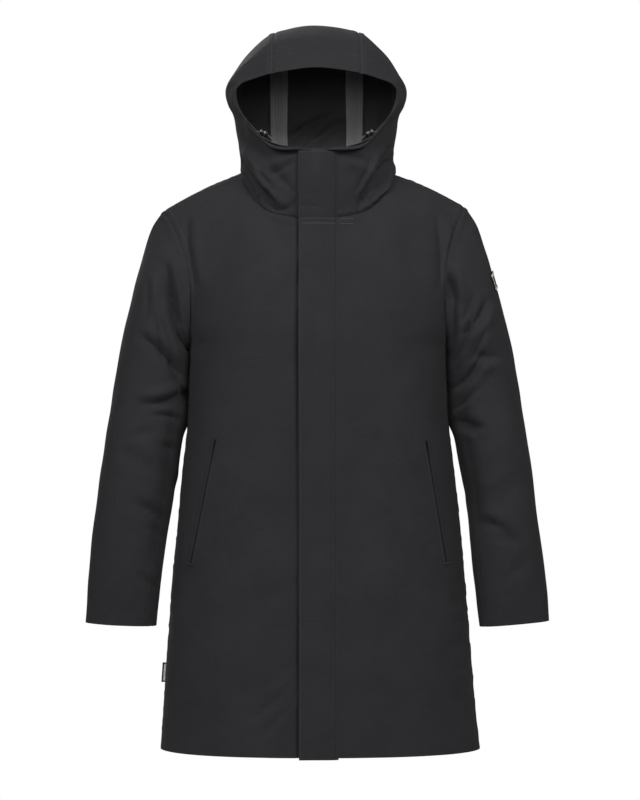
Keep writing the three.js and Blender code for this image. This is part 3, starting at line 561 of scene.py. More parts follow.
        s = np.asarray(rows, float) / SLEEVE_ROWS
        fade = np.where(s < 0.3, 1 - ease(np.clip(s / 0.3, 0, 1)), 0)[:, None, None]
        return ring(s) + (self.armhole(side, columns) - ring(np.array([0.0]))[0])[None] * fade


FORM = Form()


class Edge(Enum):
    """The four edges of a panel's grid."""

    FIRST_ROW = 0
    LAST_ROW = 1
    FIRST_COLUMN = 2
    LAST_COLUMN = 3


def fine(first: float, last: float, per: int, dense: bool = True) -> np.ndarray:
    """Fractional rows or columns, with some close to both ends for the seams.

    Args:
        first, last: both ends.
        per: steps in each whole row or column.
        dense: whether some more lie close to the ends.

    Returns:
        The rows or columns, increasing.
    """
    even = np.linspace(first, last, int(round((last - first) * per)) + 1)
    if not dense:
        return even
    near = np.array([0.035, 0.08, 0.14])
    return np.unique(np.round(np.concatenate([even, first + near, last - near]), 5))


def normals_of(points: np.ndarray, facing: int) -> np.ndarray:
    """Outward unit normals of a grid of points, which a facing of 1 or -1 turns outwards."""
    return unit(np.cross(np.gradient(points, axis=1), np.gradient(points, axis=0))) * facing


LIP_PLACE = 2.1  # a fold's lip lies this many widths beside it
LIP_BREADTH = 1.3
FOLD_END = 0.45  # share of a fold's height left at its ends
FOLD_CREST = 1.3  # power of its section, sharper than a bell's 2


def fold_height(folds: Iterable[Fold], points: np.ndarray, normals: np.ndarray) -> np.ndarray:
    """How far each point moves along its normal for a set of folds.

    Args:
        folds: the folds to add up.
        points, normals: the surface that they are worked on.

    Returns:
        A height for each point.
    """
    height = np.zeros(points.shape[:2])
    for fold in folds:
        (x0, z0), (x1, z1) = fold.start, fold.end
        chord = np.array([x1 - x0, z1 - z0])
        length = np.linalg.norm(chord)
        way = chord / length
        dx, dz = points[..., 0] - x0, points[..., 2] - z0
        t = (dx * way[0] + dz * way[1]) / length
        aside = dx * -way[1] + dz * way[0] - fold.bow * 4 * np.clip(t, 0, 1) * (1 - np.clip(t, 0, 1))
        past = np.maximum(0, np.maximum(-t, t - 1)) * length
        away = np.hypot(aside, past)
        taper = FOLD_END + (1 - FOLD_END) * np.sin(np.clip(t, 0, 1) * math.pi) ** 0.8
        shape = np.exp(-((away / fold.width) ** FOLD_CREST))
        beside = (aside - LIP_PLACE * fold.width) / (LIP_BREADTH * fold.width)
        shape -= fold.lip * np.exp(-(beside ** 2) - (past / fold.width) ** 2)
        turned = np.clip((normals[..., 1] * fold.face + 0.12) / 0.3, 0, 1)
        height += fold.depth * shape * taper * ease(turned)
    return height


class Ripple:
    """A faint unevenness that is the same function of place for every piece, so it runs on across seams."""

    def __init__(self, seed: int, count: int, waves: tuple[float, float], height: float) -> None:
        """Draws the waves: how many, between which lengths, and how high they are together."""
        rng = np.random.default_rng(seed)
        self.ways = unit(rng.normal(size=(count, 3)))
        self.waves = rng.uniform(*waves, count)
        self.phases = rng.uniform(0, 2 * math.pi, count)
        self.height = height / math.sqrt(count)

    def __call__(self, points: np.ndarray) -> np.ndarray:
        """The height at each point."""
        along = points @ self.ways.T * (2 * math.pi / self.waves) + self.phases
        return np.sin(along).sum(axis=-1) * self.height


RIPPLES = (Ripple(3, 9, (120, 260), 1.1), Ripple(11, 14, (38, 90), 0.38))
PUCKER = Ripple(23, 10, (9, 17), 0.9)
LINING_RIPPLE = Ripple(5, 10, (30, 70), 0.8)


class SeamBook:
    """The way the cloth sinks at each place of a seam, shared by the pieces that meet there."""

    def __init__(self) -> None:
        """Gathers the edges of the sewn surfaces and shares their normals out."""
        points, normals, owners = [], [], []
        for owner, (grid, facing) in enumerate(self._grids()):
            up = normals_of(grid, facing)
            for place in (np.s_[0], np.s_[-1], np.s_[:, 0], np.s_[:, -1]):
                points.append(grid[place])
                normals.append(up[place])
                owners.append(np.full(len(grid[place]), owner))
        self.points, own, owner = np.concatenate(points), np.concatenate(normals), np.concatenate(owners)
        self.tree = KDTree(len(self.points))
        for i, point in enumerate(self.points):
            self.tree.insert(point, i)
        self.tree.balance()
        self.normals = np.array([self._shared(i, own, owner) for i in range(len(own))])

    def _grids(self) -> Iterable[tuple[np.ndarray, int]]:
        """The smooth surfaces of the pieces that are sewn together."""
        body = fine(0, ROWS, 5, False)
        for side in ("right", "left"):
            front = fine(0, FRONT_COLUMNS, 6, False)
            yield FORM.half(side, "front", body, front), side_sign(side)
            sleeve, round_it = fine(0, SLEEVE_ROWS, 3, False), fine(0, 2 * ARMHOLE, 6, False)
            yield FORM.sleeve(side, sleeve, round_it), -side_sign(side)
        yield FORM.back(body, fine(0, 2 * HALF_BACK, 6, False)), -1
        yield FORM.hood(fine(0, HOOD_ROWS, 6, False), fine(0, NECK_LOOP, 6, False)), -1

    def _shared(self, i: int, own: np.ndarray, owner: np.ndarray) -> np.ndarray:
        """The mean normal of the nearest points of each piece at a place.

        Args:
            i: the place's number.
            own: every point's own normal.
            owner: every point's piece.

        Returns:
            A unit vector.
        """
        total, seen = own[i].copy(), {owner[i]}
        for _, k, _ in sorted(self.tree.find_range(self.points[i], 5.0), key=lambda found: found[2]):
            if owner[k] not in seen and own[k] @ own[i] > -0.3:
                total += own[k]
                seen.add(owner[k])
        return unit(total)

    def normals_at(self, points: np.ndarray, own: np.ndarray) -> np.ndarray:
        """Seam normals for points of a panel's edge, or the panel's own where there is no seam.

        Args:
            points: the points.
            own: their own normals.

        Returns:
            A unit normal for each point.
        """
        found = [self.tree.find(point) for point in points]
        return np.array([
            self.normals[k] if distance < 6 and self.normals[k] @ normal > 0 else normal
            for (_, k, distance), normal in zip(found, own)
        ])


class Panel:
    """A piece of cloth: a grid of outer points with normals, on which folds and seams are worked."""

    def __init__(self, name: str, points: np.ndarray, facing: int, rows: np.ndarray | None = None,
                 columns: np.ndarray | None = None) -> None:
        """Takes the smooth form and measures it.

        Args:
            name: the object's name.
            points: rows by columns by 3, on the outer face.
            facing: 1 or -1, which makes the normals point out.
            rows, columns: their places in the solids' grid, where another piece needs them.
        """
        self.name = name
        self.points = points
        self.facing = facing
        self.rows = rows
        self.columns = columns
        self.normals = normals_of(points, facing)
        self.cut = self._measure(points)

    def _measure(self, points: np.ndarray) -> tuple[float, float, float]:
        """Width, length and area in metres of the smooth form, which is the piece's cut."""
        wide = np.linalg.norm(np.diff(points, axis=1), axis=-1).sum(axis=1).max()
        long = np.linalg.norm(np.diff(points, axis=0), axis=-1).sum(axis=0).max()
        area = np.linalg.norm(np.cross(
            points[1:, 1:] - points[:-1, :-1], points[1:, :-1] - points[:-1, 1:],
        ), axis=-1).sum() / 2
        return wide * MM, long * MM, area * MM * MM

    def distance(self, edge: Edge) -> np.ndarray:
        """Distance of each point from an edge, along its row or column.

        Args:
            edge: the edge.

        Returns:
            A distance for each point.
        """
        axis = 0 if edge in (Edge.FIRST_ROW, Edge.LAST_ROW) else 1
        step = np.linalg.norm(np.diff(self.points, axis=axis), axis=-1)
        along = np.cumsum(step, axis=axis)
        zero = np.zeros_like(np.take(along, [0], axis=axis))
        along = np.concatenate([zero, along], axis=axis)
        if edge in (Edge.LAST_ROW, Edge.LAST_COLUMN):
            along = np.take(along, [-1], axis=axis) - along
        return along

    def move(self, height: np.ndarray) -> None:
        """Moves the points along their normals and works the normals out again."""
        self.points = self.points + self.normals * height[..., None]
        self.normals = normals_of(self.points, self.facing)

    def press(self, edges: Iterable[Edge], book: SeamBook | None = None, depth: float = 1.1,
              width: float = 1.9, roll: float = 0.55, quiet: np.ndarray | float = 1.0) -> None:
        """Presses a fine groove along sewn edges, with a soft puckered roll of cloth beside it.

        Args:
            edges: the sewn edges.
            book: gives the way both pieces sink at a seam, or None for the panel's own normals.
            depth, width: size of the groove.
            roll: height of the roll.
            quiet: factor from 0 to 1 on the roll, where the panel lies close to another.
        """
        base = self.points.copy()
        for edge in edges:
            d = self.distance(edge)
            if book is not None:
                share = np.exp(-((d / 6) ** 2))[..., None]
                normals = unit(self.normals * (1 - share) + self._spread(edge, book) * share)
            else:
                normals = self.normals
            height = roll * np.exp(-(((d - 7.5) / 4) ** 2)) * (1 + 0.9 * PUCKER(base)) * quiet
            self.points = self.points + self.normals * height[..., None]
            self.points = self.points - normals * (depth * np.exp(-((d / width) ** 2)))[..., None]
        self.normals = normals_of(self.points, self.facing)

    def _spread(self, edge: Edge, book: SeamBook) -> np.ndarray:
        """The seam's normals, repeated over the panel away from the edge.

        Args:
            edge: the sewn edge.
            book: the seams.

        Returns:
            A normal for each point.
        """
        at = {
            Edge.FIRST_ROW: np.s_[:1], Edge.LAST_ROW: np.s_[-1:],
            Edge.FIRST_COLUMN: np.s_[:, :1], Edge.LAST_COLUMN: np.s_[:, -1:],
        }[edge]
        points, own = self.points[at], self.normals[at]
        seam = book.normals_at(points.reshape(-1, 3), own.reshape(-1, 3)).reshape(points.shape)
        return np.broadcast_to(seam, self.points.shape)

    def tuck(self, length: float, depth: float, way: np.ndarray | None = None) -> None:
        """Runs the first row on under the piece that it is sewn to, as its seam allowance.

        Args:
            length: how far it runs on.
            depth: how far it sinks.
            way: the way that it runs, or None for straight on.
        """
        if way is None:
            way = unit(self.points[0] - self.points[4])
        under = self.points[0] + way * length - self.normals[0] * depth
        self.points = np.concatenate([under[None], self.points])
        self.normals = normals_of(self.points, self.facing)

    def across(self, z: float, first: float, last: float) -> tuple[np.ndarray, np.ndarray]:
        """The line across the panel at a height, between two places in X, and its normals.

        Args:
            z: the height.
            first, last: the two places in X.

        Returns:
            The line's points and unit normals.
        """
        def at(values: np.ndarray) -> np.ndarray:
            """Each column's value where the column passes the height."""
            return np.array([between(z, self.points[:, i, 2], values[:, i]) for i in range(values.shape[1])])

        line, normals = at(self.points), at(self.normals)
        kept = (line[:, 0] >= first) & (line[:, 0] <= last)
        return line[kept], unit(normals[kept])

    def inset(self, edge: Edge, distance: float, first: float = 0,
              last: float = 1) -> tuple[np.ndarray, np.ndarray]:
        """The line at a distance inside an edge, and its normals, between two shares of the edge.

        Args:
            edge: the edge.
            distance: how far inside it.
            first, last: shares of its length.

        Returns:
            The line's points and unit normals.
        """
        away, points, normals = self.distance(edge), self.points, self.normals
        if edge in (Edge.FIRST_ROW, Edge.LAST_ROW):
            away, points, normals = away.T, points.swapaxes(0, 1), normals.swapaxes(0, 1)
        if edge in (Edge.LAST_ROW, Edge.LAST_COLUMN):
            away, points, normals = away[:, ::-1], points[:, ::-1], normals[:, ::-1]
        final = len(away) - 1
        rows = range(int(round(first * final)), int(round(last * final)) + 1)
        line = np.array([between(distance, away[j], points[j]) for j in rows])
        return line, unit(np.array([between(distance, away[j], normals[j]) for j in rows]))


def mesh_object(name: str, vertices: np.ndarray, faces: list, material: bpy.types.Material,
                uv: np.ndarray | None = None, sharp: float = 50) -> bpy.types.Object:
    """Makes a mesh object from points in millimetres.

    Args:
        name: the object's name.
        vertices: N by 3, in millimetres.
        faces: lists of vertex indices.
        material: its material.
        uv: N by 2 texture places in metres, or None.
        sharp: edges above this angle in degrees stay sharp, and the rest is shaded smooth.

    Returns:
        The new object, linked to the scene and riding on the root body.
    """
    mesh = bpy.data.meshes.new(name)
    mesh.from_pydata((np.asarray(vertices) * MM).tolist(), [], faces)
    mesh.materials.append(material)
    if uv is not None:
        layer = mesh.uv_layers.new(name="cloth")
        index = np.zeros(len(mesh.loops), np.int32)
        mesh.loops.foreach_get("vertex_index", index)
        layer.data.foreach_set("uv", np.asarray(uv, np.float32)[index].ravel())
    mesh.polygons.foreach_set("use_smooth", [True] * len(mesh.polygons))
    mesh.set_sharp_from_angle(angle=math.radians(sharp))
    mesh.update()
    obj = bpy.data.objects.new(name, mesh)
    bpy.context.scene.collection.objects.link(obj)
    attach(obj, "root")
    return obj


def cloth_places(outer: np.ndarray) -> np.ndarray:
    """Each point's place on the flat cloth in metres, across from the middle column and up.

    Args:
        outer: rows by columns by 3, in millimetres.

    Returns:
        Two numbers for each point.
    """
    wide = np.linalg.norm(np.diff(outer, axis=1), axis=-1).cumsum(axis=1)
    long = np.linalg.norm(np.diff(outer, axis=0), axis=-1).cumsum(axis=0)
    u = np.pad(wide, ((0, 0), (1, 0)))
    v = np.pad(long, ((1, 0), (0, 0)))
    middle = u[:, outer.shape[1] // 2][:, None]
    return np.stack([(u - middle) * MM, v * MM], axis=-1).reshape(-1, 2)


def wall(panel: Panel, thick: float, material: bpy.types.Material) -> bpy.types.Object:
    """A closed cloth wall of a thickness inside a panel's outer points.

    Args:
        panel: the outer face.
        thick: the wall in millimetres.
        material: its material.

    Returns:
        The new object.
    """
    rows, columns = panel.points.shape[:2]
    total = rows * columns
    number = np.arange(total).reshape(rows, columns)
    low_left, low_right = number[:-1, :-1], number[:-1, 1:]
    high_left, high_right = number[1:, :-1], number[1:, 1:]
    quads = np.stack([low_left, low_right, high_right, high_left], axis=-1).reshape(-1, 4)
    inside = np.stack([low_left, high_left, high_right, low_right], axis=-1).reshape(-1, 4) + total
    rim = np.concatenate([number[0, :-1], number[:-1, -1], number[-1, :0:-1], number[:0:-1, 0]])
    after = np.roll(rim, -1)
    sides = np.stack([rim + total, after + total, after, rim], axis=-1)
    faces = np.concatenate([quads, inside, sides])
    if panel.facing < 0:
        faces = faces[:, ::-1]
    inner = panel.points - panel.normals * thick
    points = np.concatenate([panel.points.reshape(-1, 3), inner.reshape(-1, 3)])
    uv = cloth_places(panel.points)
    return mesh_object(panel.name, points, faces.tolist(), material, np.concatenate([uv, uv]))


def declare_sheet(panel: Panel, least: float = LEAST_CUT) -> None:
    """Args:
        panel: its panel, which holds the measured cut.
        least: smallest side of the flat piece.
    """
    wide, long, area = panel.cut
    wide, long = max(wide, least), max(long, least)
    whole = wide * long
    max(min(area, whole), LEAST_SHARE * whole)


def cloth(panel: Panel, node: str, material: bpy.types.Material,
          thick: float = WALL) -> None:
    """Builds a panel as a cloth piece that stands for its solid.

    Args:
        panel: the finished panel.
        node: the solid that it stands for.
        material: its material.
        thick: the wall in millimetres.
    """
    obj = wall(panel, thick, material)
    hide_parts(node)
    declare_sheet(panel)


# Stitching


@dataclass(frozen=True)
class Thread:
    """A row of stitches.

    Attributes:
        pitch: distance from one stitch to the next.
        length: length of each stitch.
        width: breadth of the thread.
        height: how far the thread stands out.
    """

    pitch: float = 3.3
    length: float = 2.6
    width: float = 0.95
    height: float = 0.5


class Stitching:
    """Collects stitches along lines of the cloth and makes one mesh of them.

    Each stitch is a small bridge: two feet sunk in the cloth and a raised crown between them.
    """

    FOOT = 0.1
    FACES = np.array([[3, 2, 1, 0], [2, 3, 7, 6], [3, 0, 4, 7], [1, 2, 6, 5], [6, 7, 4, 5]])

    def __init__(self, name: str, thread: Thread = Thread()) -> None:
        """Starts with no stitches."""
        self.name = name
        self.thread = thread
        self.points: list[np.ndarray] = []

    def add(self, line: np.ndarray, normals: np.ndarray) -> None:
        """Adds a row of stitches along a line.

        Args:
            line: points of the line.
            normals: the way out at each point.
        """
        along = run_of(line)
        count = int(along[-1] / self.thread.pitch)
        if count < 1:
            return
        centre = (np.arange(count) + 0.5) * along[-1] / count
        half = self.thread.length / 2

        start, end = between(centre - half, along, line), between(centre + half, along, line)
        normal = unit(between(centre, along, normals))
        way = unit(end - start)
        side = np.cross(normal, way) * self.thread.width / 2
        crown = between(centre, along, line) + normal * self.thread.height
        corners = []
        for foot, ahead in ((start, -1), (end, 1)):
            sunk_foot = foot - normal * self.FOOT
            shoulder = crown + ahead * way * half * 0.5
            corners += [sunk_foot + side * 0.5, sunk_foot - side * 0.5, shoulder - side, shoulder + side]
        self.points.append(np.stack(corners, axis=1))

    def build(self, material: bpy.types.Material) -> bpy.types.Object:
        """Makes the mesh of all the stitches.

        Args:
            material: the thread's material.

        Returns:
            The new object.
        """
        corners = np.concatenate(self.points)
        base = np.arange(len(corners))[:, None] * 8
        faces = (base[:, None] + self.FACES[None]).reshape(-1, 4)
        obj = mesh_object(self.name, corners.reshape(-1, 3), faces.tolist(), material, sharp=60)
        return obj


# Materials


Input = bpy.types.NodeSocket | float | tuple


class Shader:
    """Adds nodes to a tree and links them."""

    def __init__(self, tree: bpy.types.NodeTree) -> None:
        """Takes the tree that it adds to."""
        self.tree = tree

    def node(self, kind: str, inputs: dict | None = None, **attributes) -> bpy.types.Node:
        """Adds a node, sets its attributes and its inputs, which are values or sockets to link.

        Args:
            kind: the node's type.
            inputs: values or sockets by input.
            attributes: settings by name.

        Returns:
            The new node.
        """
        node = self.tree.nodes.new(kind)
        for name, value in attributes.items():
            setattr(node, name, value)
        for name, value in (inputs or {}).items():
            socket = node.inputs[name]
            if isinstance(value, bpy.types.NodeSocket):
                self.tree.links.new(value, socket)
            else:
                socket.default_value = value
        return node

    def math(self, operation: str, a: Input, b: Input = 0.0, clamp: bool = False) -> bpy.types.NodeSocket:
        """A math node's result."""
        return self.node("ShaderNodeMath", {0: a, 1: b}, operation=operation, use_clamp=clamp).outputs[0]

    def noise(self, place: bpy.types.NodeSocket, scale: float, detail: float, roughness: float = 0.5,
              output: str = "Fac") -> bpy.types.NodeSocket:
        """A noise texture's value, or its colour."""
        inputs = {"Vector": place, "Scale": scale, "Detail": detail, "Roughness": roughness}
        return self.node("ShaderNodeTexNoise", inputs).outputs[output]

    def mix(self, share: Input, a: Input, b: Input) -> bpy.types.NodeSocket:
        """A mix of two colours."""
        return self.node("ShaderNodeMix", {0: share, 6: a, 7: b}, data_type="RGBA").outputs[2]


def weave_group() -> bpy.types.NodeTree:
    """A plain weave: a height and a mask from the cloth's own coordinates, at the scale it is given.

    Returns:
        The node group, with a Scale input and Height and Fibre outputs.
    """
    group = bpy.data.node_groups.new("weave", "ShaderNodeTree")
    for name, way in (("Scale", "INPUT"), ("Height", "OUTPUT"), ("Fibre", "OUTPUT")):
        group.interface.new_socket(name=name, in_out=way, socket_type="NodeSocketFloat")
    s = Shader(group)
    start, end = group.nodes.new("NodeGroupInput"), group.nodes.new("NodeGroupOutput")
    place = s.node("ShaderNodeTexCoord").outputs["UV"]
    split = s.node("ShaderNodeSeparateXYZ", {0: place})
    u = s.math("MULTIPLY", split.outputs[0], start.outputs["Scale"])
    v = s.math("MULTIPLY", split.outputs[1], start.outputs["Scale"])
    over = s.math("MULTIPLY", s.math("SINE", u), s.math("SINE", v))
    thread_u = s.math("ABSOLUTE", s.math("SINE", s.math("MULTIPLY", u, 0.5)))
    thread_v = s.math("ABSOLUTE", s.math("SINE", s.math("MULTIPLY", v, 0.5)))
    pick = s.math("GREATER_THAN", over, 0.0)
    warp = s.math("MULTIPLY", thread_u, pick)
    weft = s.math("MULTIPLY", thread_v, s.math("SUBTRACT", 1.0, pick))
    height = s.math("ADD", warp, weft)
    fibre = s.noise(place, 900.0, 3.0, 0.7)
    group.links.new(height, end.inputs["Height"])
    group.links.new(fibre, end.inputs["Fibre"])
    return group


def mottle_group() -> bpy.types.NodeTree:
    """Slow colour variation and fine handling creases from the object's own coordinates.

    Returns:
        The node group, with Tone and Crease outputs.
    """
    group = bpy.data.node_groups.new("mottle", "ShaderNodeTree")
    for name in ("Tone", "Crease"):
        group.interface.new_socket(name=name, in_out="OUTPUT", socket_type="NodeSocketFloat")
    s = Shader(group)
    end = group.nodes.new("NodeGroupOutput")
    place = s.node("ShaderNodeTexCoord").outputs["Object"]
    tone = s.noise(place, 14.0, 6.0, 0.72)
    # the creases are read at places that a slow noise, squared, shifts
    shift = s.noise(place, 9.0, 2.0, output="Color")
    bent = s.node("ShaderNodeVectorMath", {0: shift, 1: shift, 2: place}, operation="MULTIPLY_ADD")
    crease = s.noise(bent.outputs[0], 24.0, 4.0, 0.55)
    group.links.new(tone, end.inputs["Tone"])
    group.links.new(crease, end.inputs["Crease"])
    return group


@dataclass(frozen=True)
class ClothFinish:
    """A woven cloth.

    Attributes:
        name: material name.
        colour: base colour, linear.
        fleck: colour of the lighter fibres.
        thread: size of one thread in millimetres.
        roughness: surface roughness.
        sheen: weight of the soft sheen.
        weave: depth of the weave in millimetres.
        crease: depth of the fine handling creases in millimetres.
    """

    name: str
    colour: tuple[float, float, float]
    fleck: tuple[float, float, float]
    thread: float = 0.45
    roughness: float = 0.85
    sheen: float = 0.04
    weave: float = 0.07
    crease: float = 0.9

    def make(self, weave: bpy.types.NodeTree, mottle: bpy.types.NodeTree) -> bpy.types.Material:
        """Builds the material.

        Args:
            weave, mottle: the shared node groups.

        Returns:
            The material.
        """
        material = bpy.data.materials.new(self.name)
        material.use_nodes = True
        tree = material.node_tree
        s = Shader(tree)
        bsdf = tree.nodes["Principled BSDF"]
        threads = s.node("ShaderNodeGroup", node_tree=weave)
        threads.inputs["Scale"].default_value = math.pi / (self.thread * MM)
        slow = s.node("ShaderNodeGroup", node_tree=mottle)
        light_fibre = s.math("SUBTRACT", threads.outputs["Fibre"], 0.42, clamp=True)
        share = s.math("MULTIPLY", light_fibre, 2.2, clamp=True)
        colour = s.mix(share, (*self.colour, 1), (*self.fleck, 1))
        tone = s.math("ADD", s.math("MULTIPLY", slow.outputs["Tone"], 0.5), 0.75)
        shaded = s.node("ShaderNodeVectorMath", {0: colour, 3: tone}, operation="SCALE").outputs[0]
        tree.links.new(shaded, bsdf.inputs["Base Color"])
        weave_bump = s.node("ShaderNodeBump", {
            "Strength": 1.0, "Distance": self.weave * MM, "Height": threads.outputs["Height"],
        })
        crease_bump = s.node("ShaderNodeBump", {
            "Strength": 1.0, "Distance": self.crease * MM, "Height": slow.outputs["Crease"],
            "Normal": weave_bump.outputs[0],
        })
        tree.links.new(crease_bump.outputs[0], bsdf.inputs["Normal"])
        bsdf.inputs["Roughness"].default_value = self.roughness
        bsdf.inputs["Sheen Weight"].default_value = self.sheen
        bsdf.inputs["Sheen Roughness"].default_value = 0.45
        bsdf.inputs["Specular IOR Level"].default_value = 0.14
        return material


@dataclass(frozen=True)
class HardFinish:
    """A moulded plastic or coated metal.

    Attributes:
        name: material name.
        colour: base colour, linear.
        roughness: mean surface roughness.
        metal: 0 for plastic, towards 1 for bare metal.
        grain: depth of the surface grain in millimetres.
    """

    name: str
    colour: tuple[float, float, float]
    roughness: float = 0.45
    metal: float = 0.0
    grain: float = 0.03

    def make(self) -> bpy.types.Material:
        """Builds the material."""
        material = bpy.data.materials.new(self.name)
        material.use_nodes = True
        tree = material.node_tree
        s = Shader(tree)
        bsdf = tree.nodes["Principled BSDF"]
        place = s.node("ShaderNodeTexCoord").outputs["Object"]
        grain = s.noise(place, 1400.0, 2.0)
        wear = s.noise(place, 220.0, 3.0)
        bump = s.node("ShaderNodeBump", {"Strength": 1.0, "Distance": self.grain * MM, "Height": grain})
        tree.links.new(bump.outputs[0], bsdf.inputs["Normal"])
        rough = s.math("ADD", s.math("MULTIPLY", wear, 0.2), self.roughness - 0.1)
        tree.links.new(rough, bsdf.inputs["Roughness"])
        bsdf.inputs["Base Color"].default_value = (*self.colour, 1)
        bsdf.inputs["Metallic"].default_value = self.metal
        return material


class Finishes:
    """Every material, made once."""

    def __init__(self) -> None:
        """Makes them, the woven ones with the same two node groups."""
        weave, mottle = weave_group(), mottle_group()

        def woven(finish: ClothFinish) -> bpy.types.Material:
            """A woven cloth's material."""
            return finish.make(weave, mottle)

        self.shell = woven(ClothFinish("shell_cloth", (0.0305, 0.0302, 0.0332), (0.040, 0.040, 0.043)))
        self.lining = woven(ClothFinish(
            "lining_cloth", (0.066, 0.066, 0.067), (0.094, 0.094, 0.095),
            thread=0.7, roughness=0.6, sheen=0.1, weave=0.08, crease=1.2,
        ))
        self.tape = woven(ClothFinish(
            "tape_cloth", (0.35, 0.35, 0.36), (0.5, 0.5, 0.51),
            thread=0.9, roughness=0.75, sheen=0.05, weave=0.12, crease=0.1,
        ))
        self.stripe = woven(ClothFinish(
            "tape_stripe", (0.55, 0.55, 0.57), (0.68, 0.68, 0.70),
            thread=0.5, roughness=0.7, sheen=0.0, weave=0.05, crease=0.0,
        ))
        self.zip = woven(ClothFinish(
            "zip_tape", (0.008, 0.009, 0.014), (0.014, 0.015, 0.022),
            thread=0.8, roughness=0.5, sheen=0.0, weave=0.1, crease=0.05,
        ))
        self.bright = woven(ClothFinish(
            "bright_thread", (0.07, 0.07, 0.074), (0.09, 0.09, 0.094),
            thread=0.3, roughness=0.6, sheen=0.0, weave=0.02, crease=0.0,
        ))
        self.thread = woven(ClothFinish(
            "thread", (0.052, 0.052, 0.055), (0.072, 0.072, 0.075),
            thread=0.3, roughness=0.6, sheen=0.0, weave=0.02, crease=0.0,
        ))
        self.cord = woven(ClothFinish(
            "elastic", (0.12, 0.12, 0.125), (0.2, 0.2, 0.205),
            thread=0.5, roughness=0.7, sheen=0.0, weave=0.1, crease=0.0,
        ))
        self.label = woven(ClothFinish(
            "label_cloth", (0.010, 0.012, 0.020), (0.018, 0.020, 0.030),
            thread=0.35, roughness=0.6, sheen=0.05, weave=0.04, crease=0.05,
        ))
        self.border = woven(ClothFinish(
            "label_border", (0.76, 0.72, 0.66), (0.86, 0.82, 0.76),
            thread=0.35, roughness=0.7, sheen=0.0, weave=0.06, crease=0.0,
        ))
        self.plastic = HardFinish("lock_plastic", (0.012, 0.012, 0.014), 0.16).make()
        self.eyelet = HardFinish("eyelet_metal", (0.45, 0.45, 0.46), 0.3, 0.9, 0.005).make()
        self.metal = HardFinish("slider_metal", (0.03, 0.03, 0.033), 0.35, 0.8, 0.01).make()


# The coat's assemblies


def smoothed(points: np.ndarray, rows: np.ndarray, columns: np.ndarray) -> np.ndarray:
    """Evens out a body panel across its columns above the armpit, and leaves its edges where they are.

    Args:
        points: the panel's grid.
        rows, columns: its places in the solids' grid.

    Returns:
        The evened grid.
    """
    reach = 14
    weights = np.exp(-((np.arange(-reach, reach + 1) / (reach / 2)) ** 2))
    weights /= weights.sum()
    padded = np.pad(points, ((0, 0), (reach, reach), (0, 0)), mode="edge")
    even = sum(w * padded[:, k:k + points.shape[1]] for k, w in enumerate(weights))
    up = np.clip((rows - HEM_TO_ARMPIT) / 2, 0, 1) * np.clip((ROWS - rows) / 1.6, 0, 1)
    span = columns[-1] - columns[0]
    aside = np.clip(np.minimum(columns - columns[0], columns[-1] - columns) / min(3.0, span / 3), 0, 1)
    return points + (even - points) * (ease(up)[:, None] * ease(aside)[None])[..., None]


def contact(points: np.ndarray, side: str) -> np.ndarray:
    """0 where a sleeve lies against the body and 1 away from it.

    Args:
        points: the sleeve's grid.
        side: "right" or "left", the wearer's.

    Returns:
        A factor for each point.
    """
    height = np.clip(points[..., 2], HEM_Z, ARMPIT_Z).ravel()
    wide = pchip(BODY[:, 0], BODY[:, BODY_COLUMN[side]], height)
    away = np.abs(points[..., 0]) - wide.reshape(points.shape[:2])
    close = np.clip((away - 1.5) / 16, 0, 1)
    return np.where(points[..., 2] > -430, ease(close), 1.0)


def folds_of(*pieces: str) -> list[Fold]:
    """The folds of some pieces."""
    return [fold for fold in FOLDS if fold.piece in pieces]


def sunk(panel: Panel) -> np.ndarray:
    """How far a piece inside the hood gives way to the hood's troughs."""
    return np.minimum(fold_height(folds_of("hood"), panel.points, panel.normals), 0) * 1.1


def edge_fade(panel: Panel, edges: Iterable[Edge], width: float, start: float = 0) -> np.ndarray:
    """A factor that goes to 0 at some edges, so that folds leave the seams where they are.

    Args:
        panel: the panel.
        edges: where the factor is 0.
        width: how far it takes to reach 1.
        start: how far it stays 0.

    Returns:
        A factor for each point.
    """
    factor = np.ones(panel.points.shape[:2])
    for edge in edges:
        factor *= ease(np.clip((panel.distance(edge) - start) / width, 0, 1))
    return factor


def uneven(points: np.ndarray) -> np.ndarray:
    """The cloth's faint unevenness."""
    return sum(ripple(points) for ripple in RIPPLES)


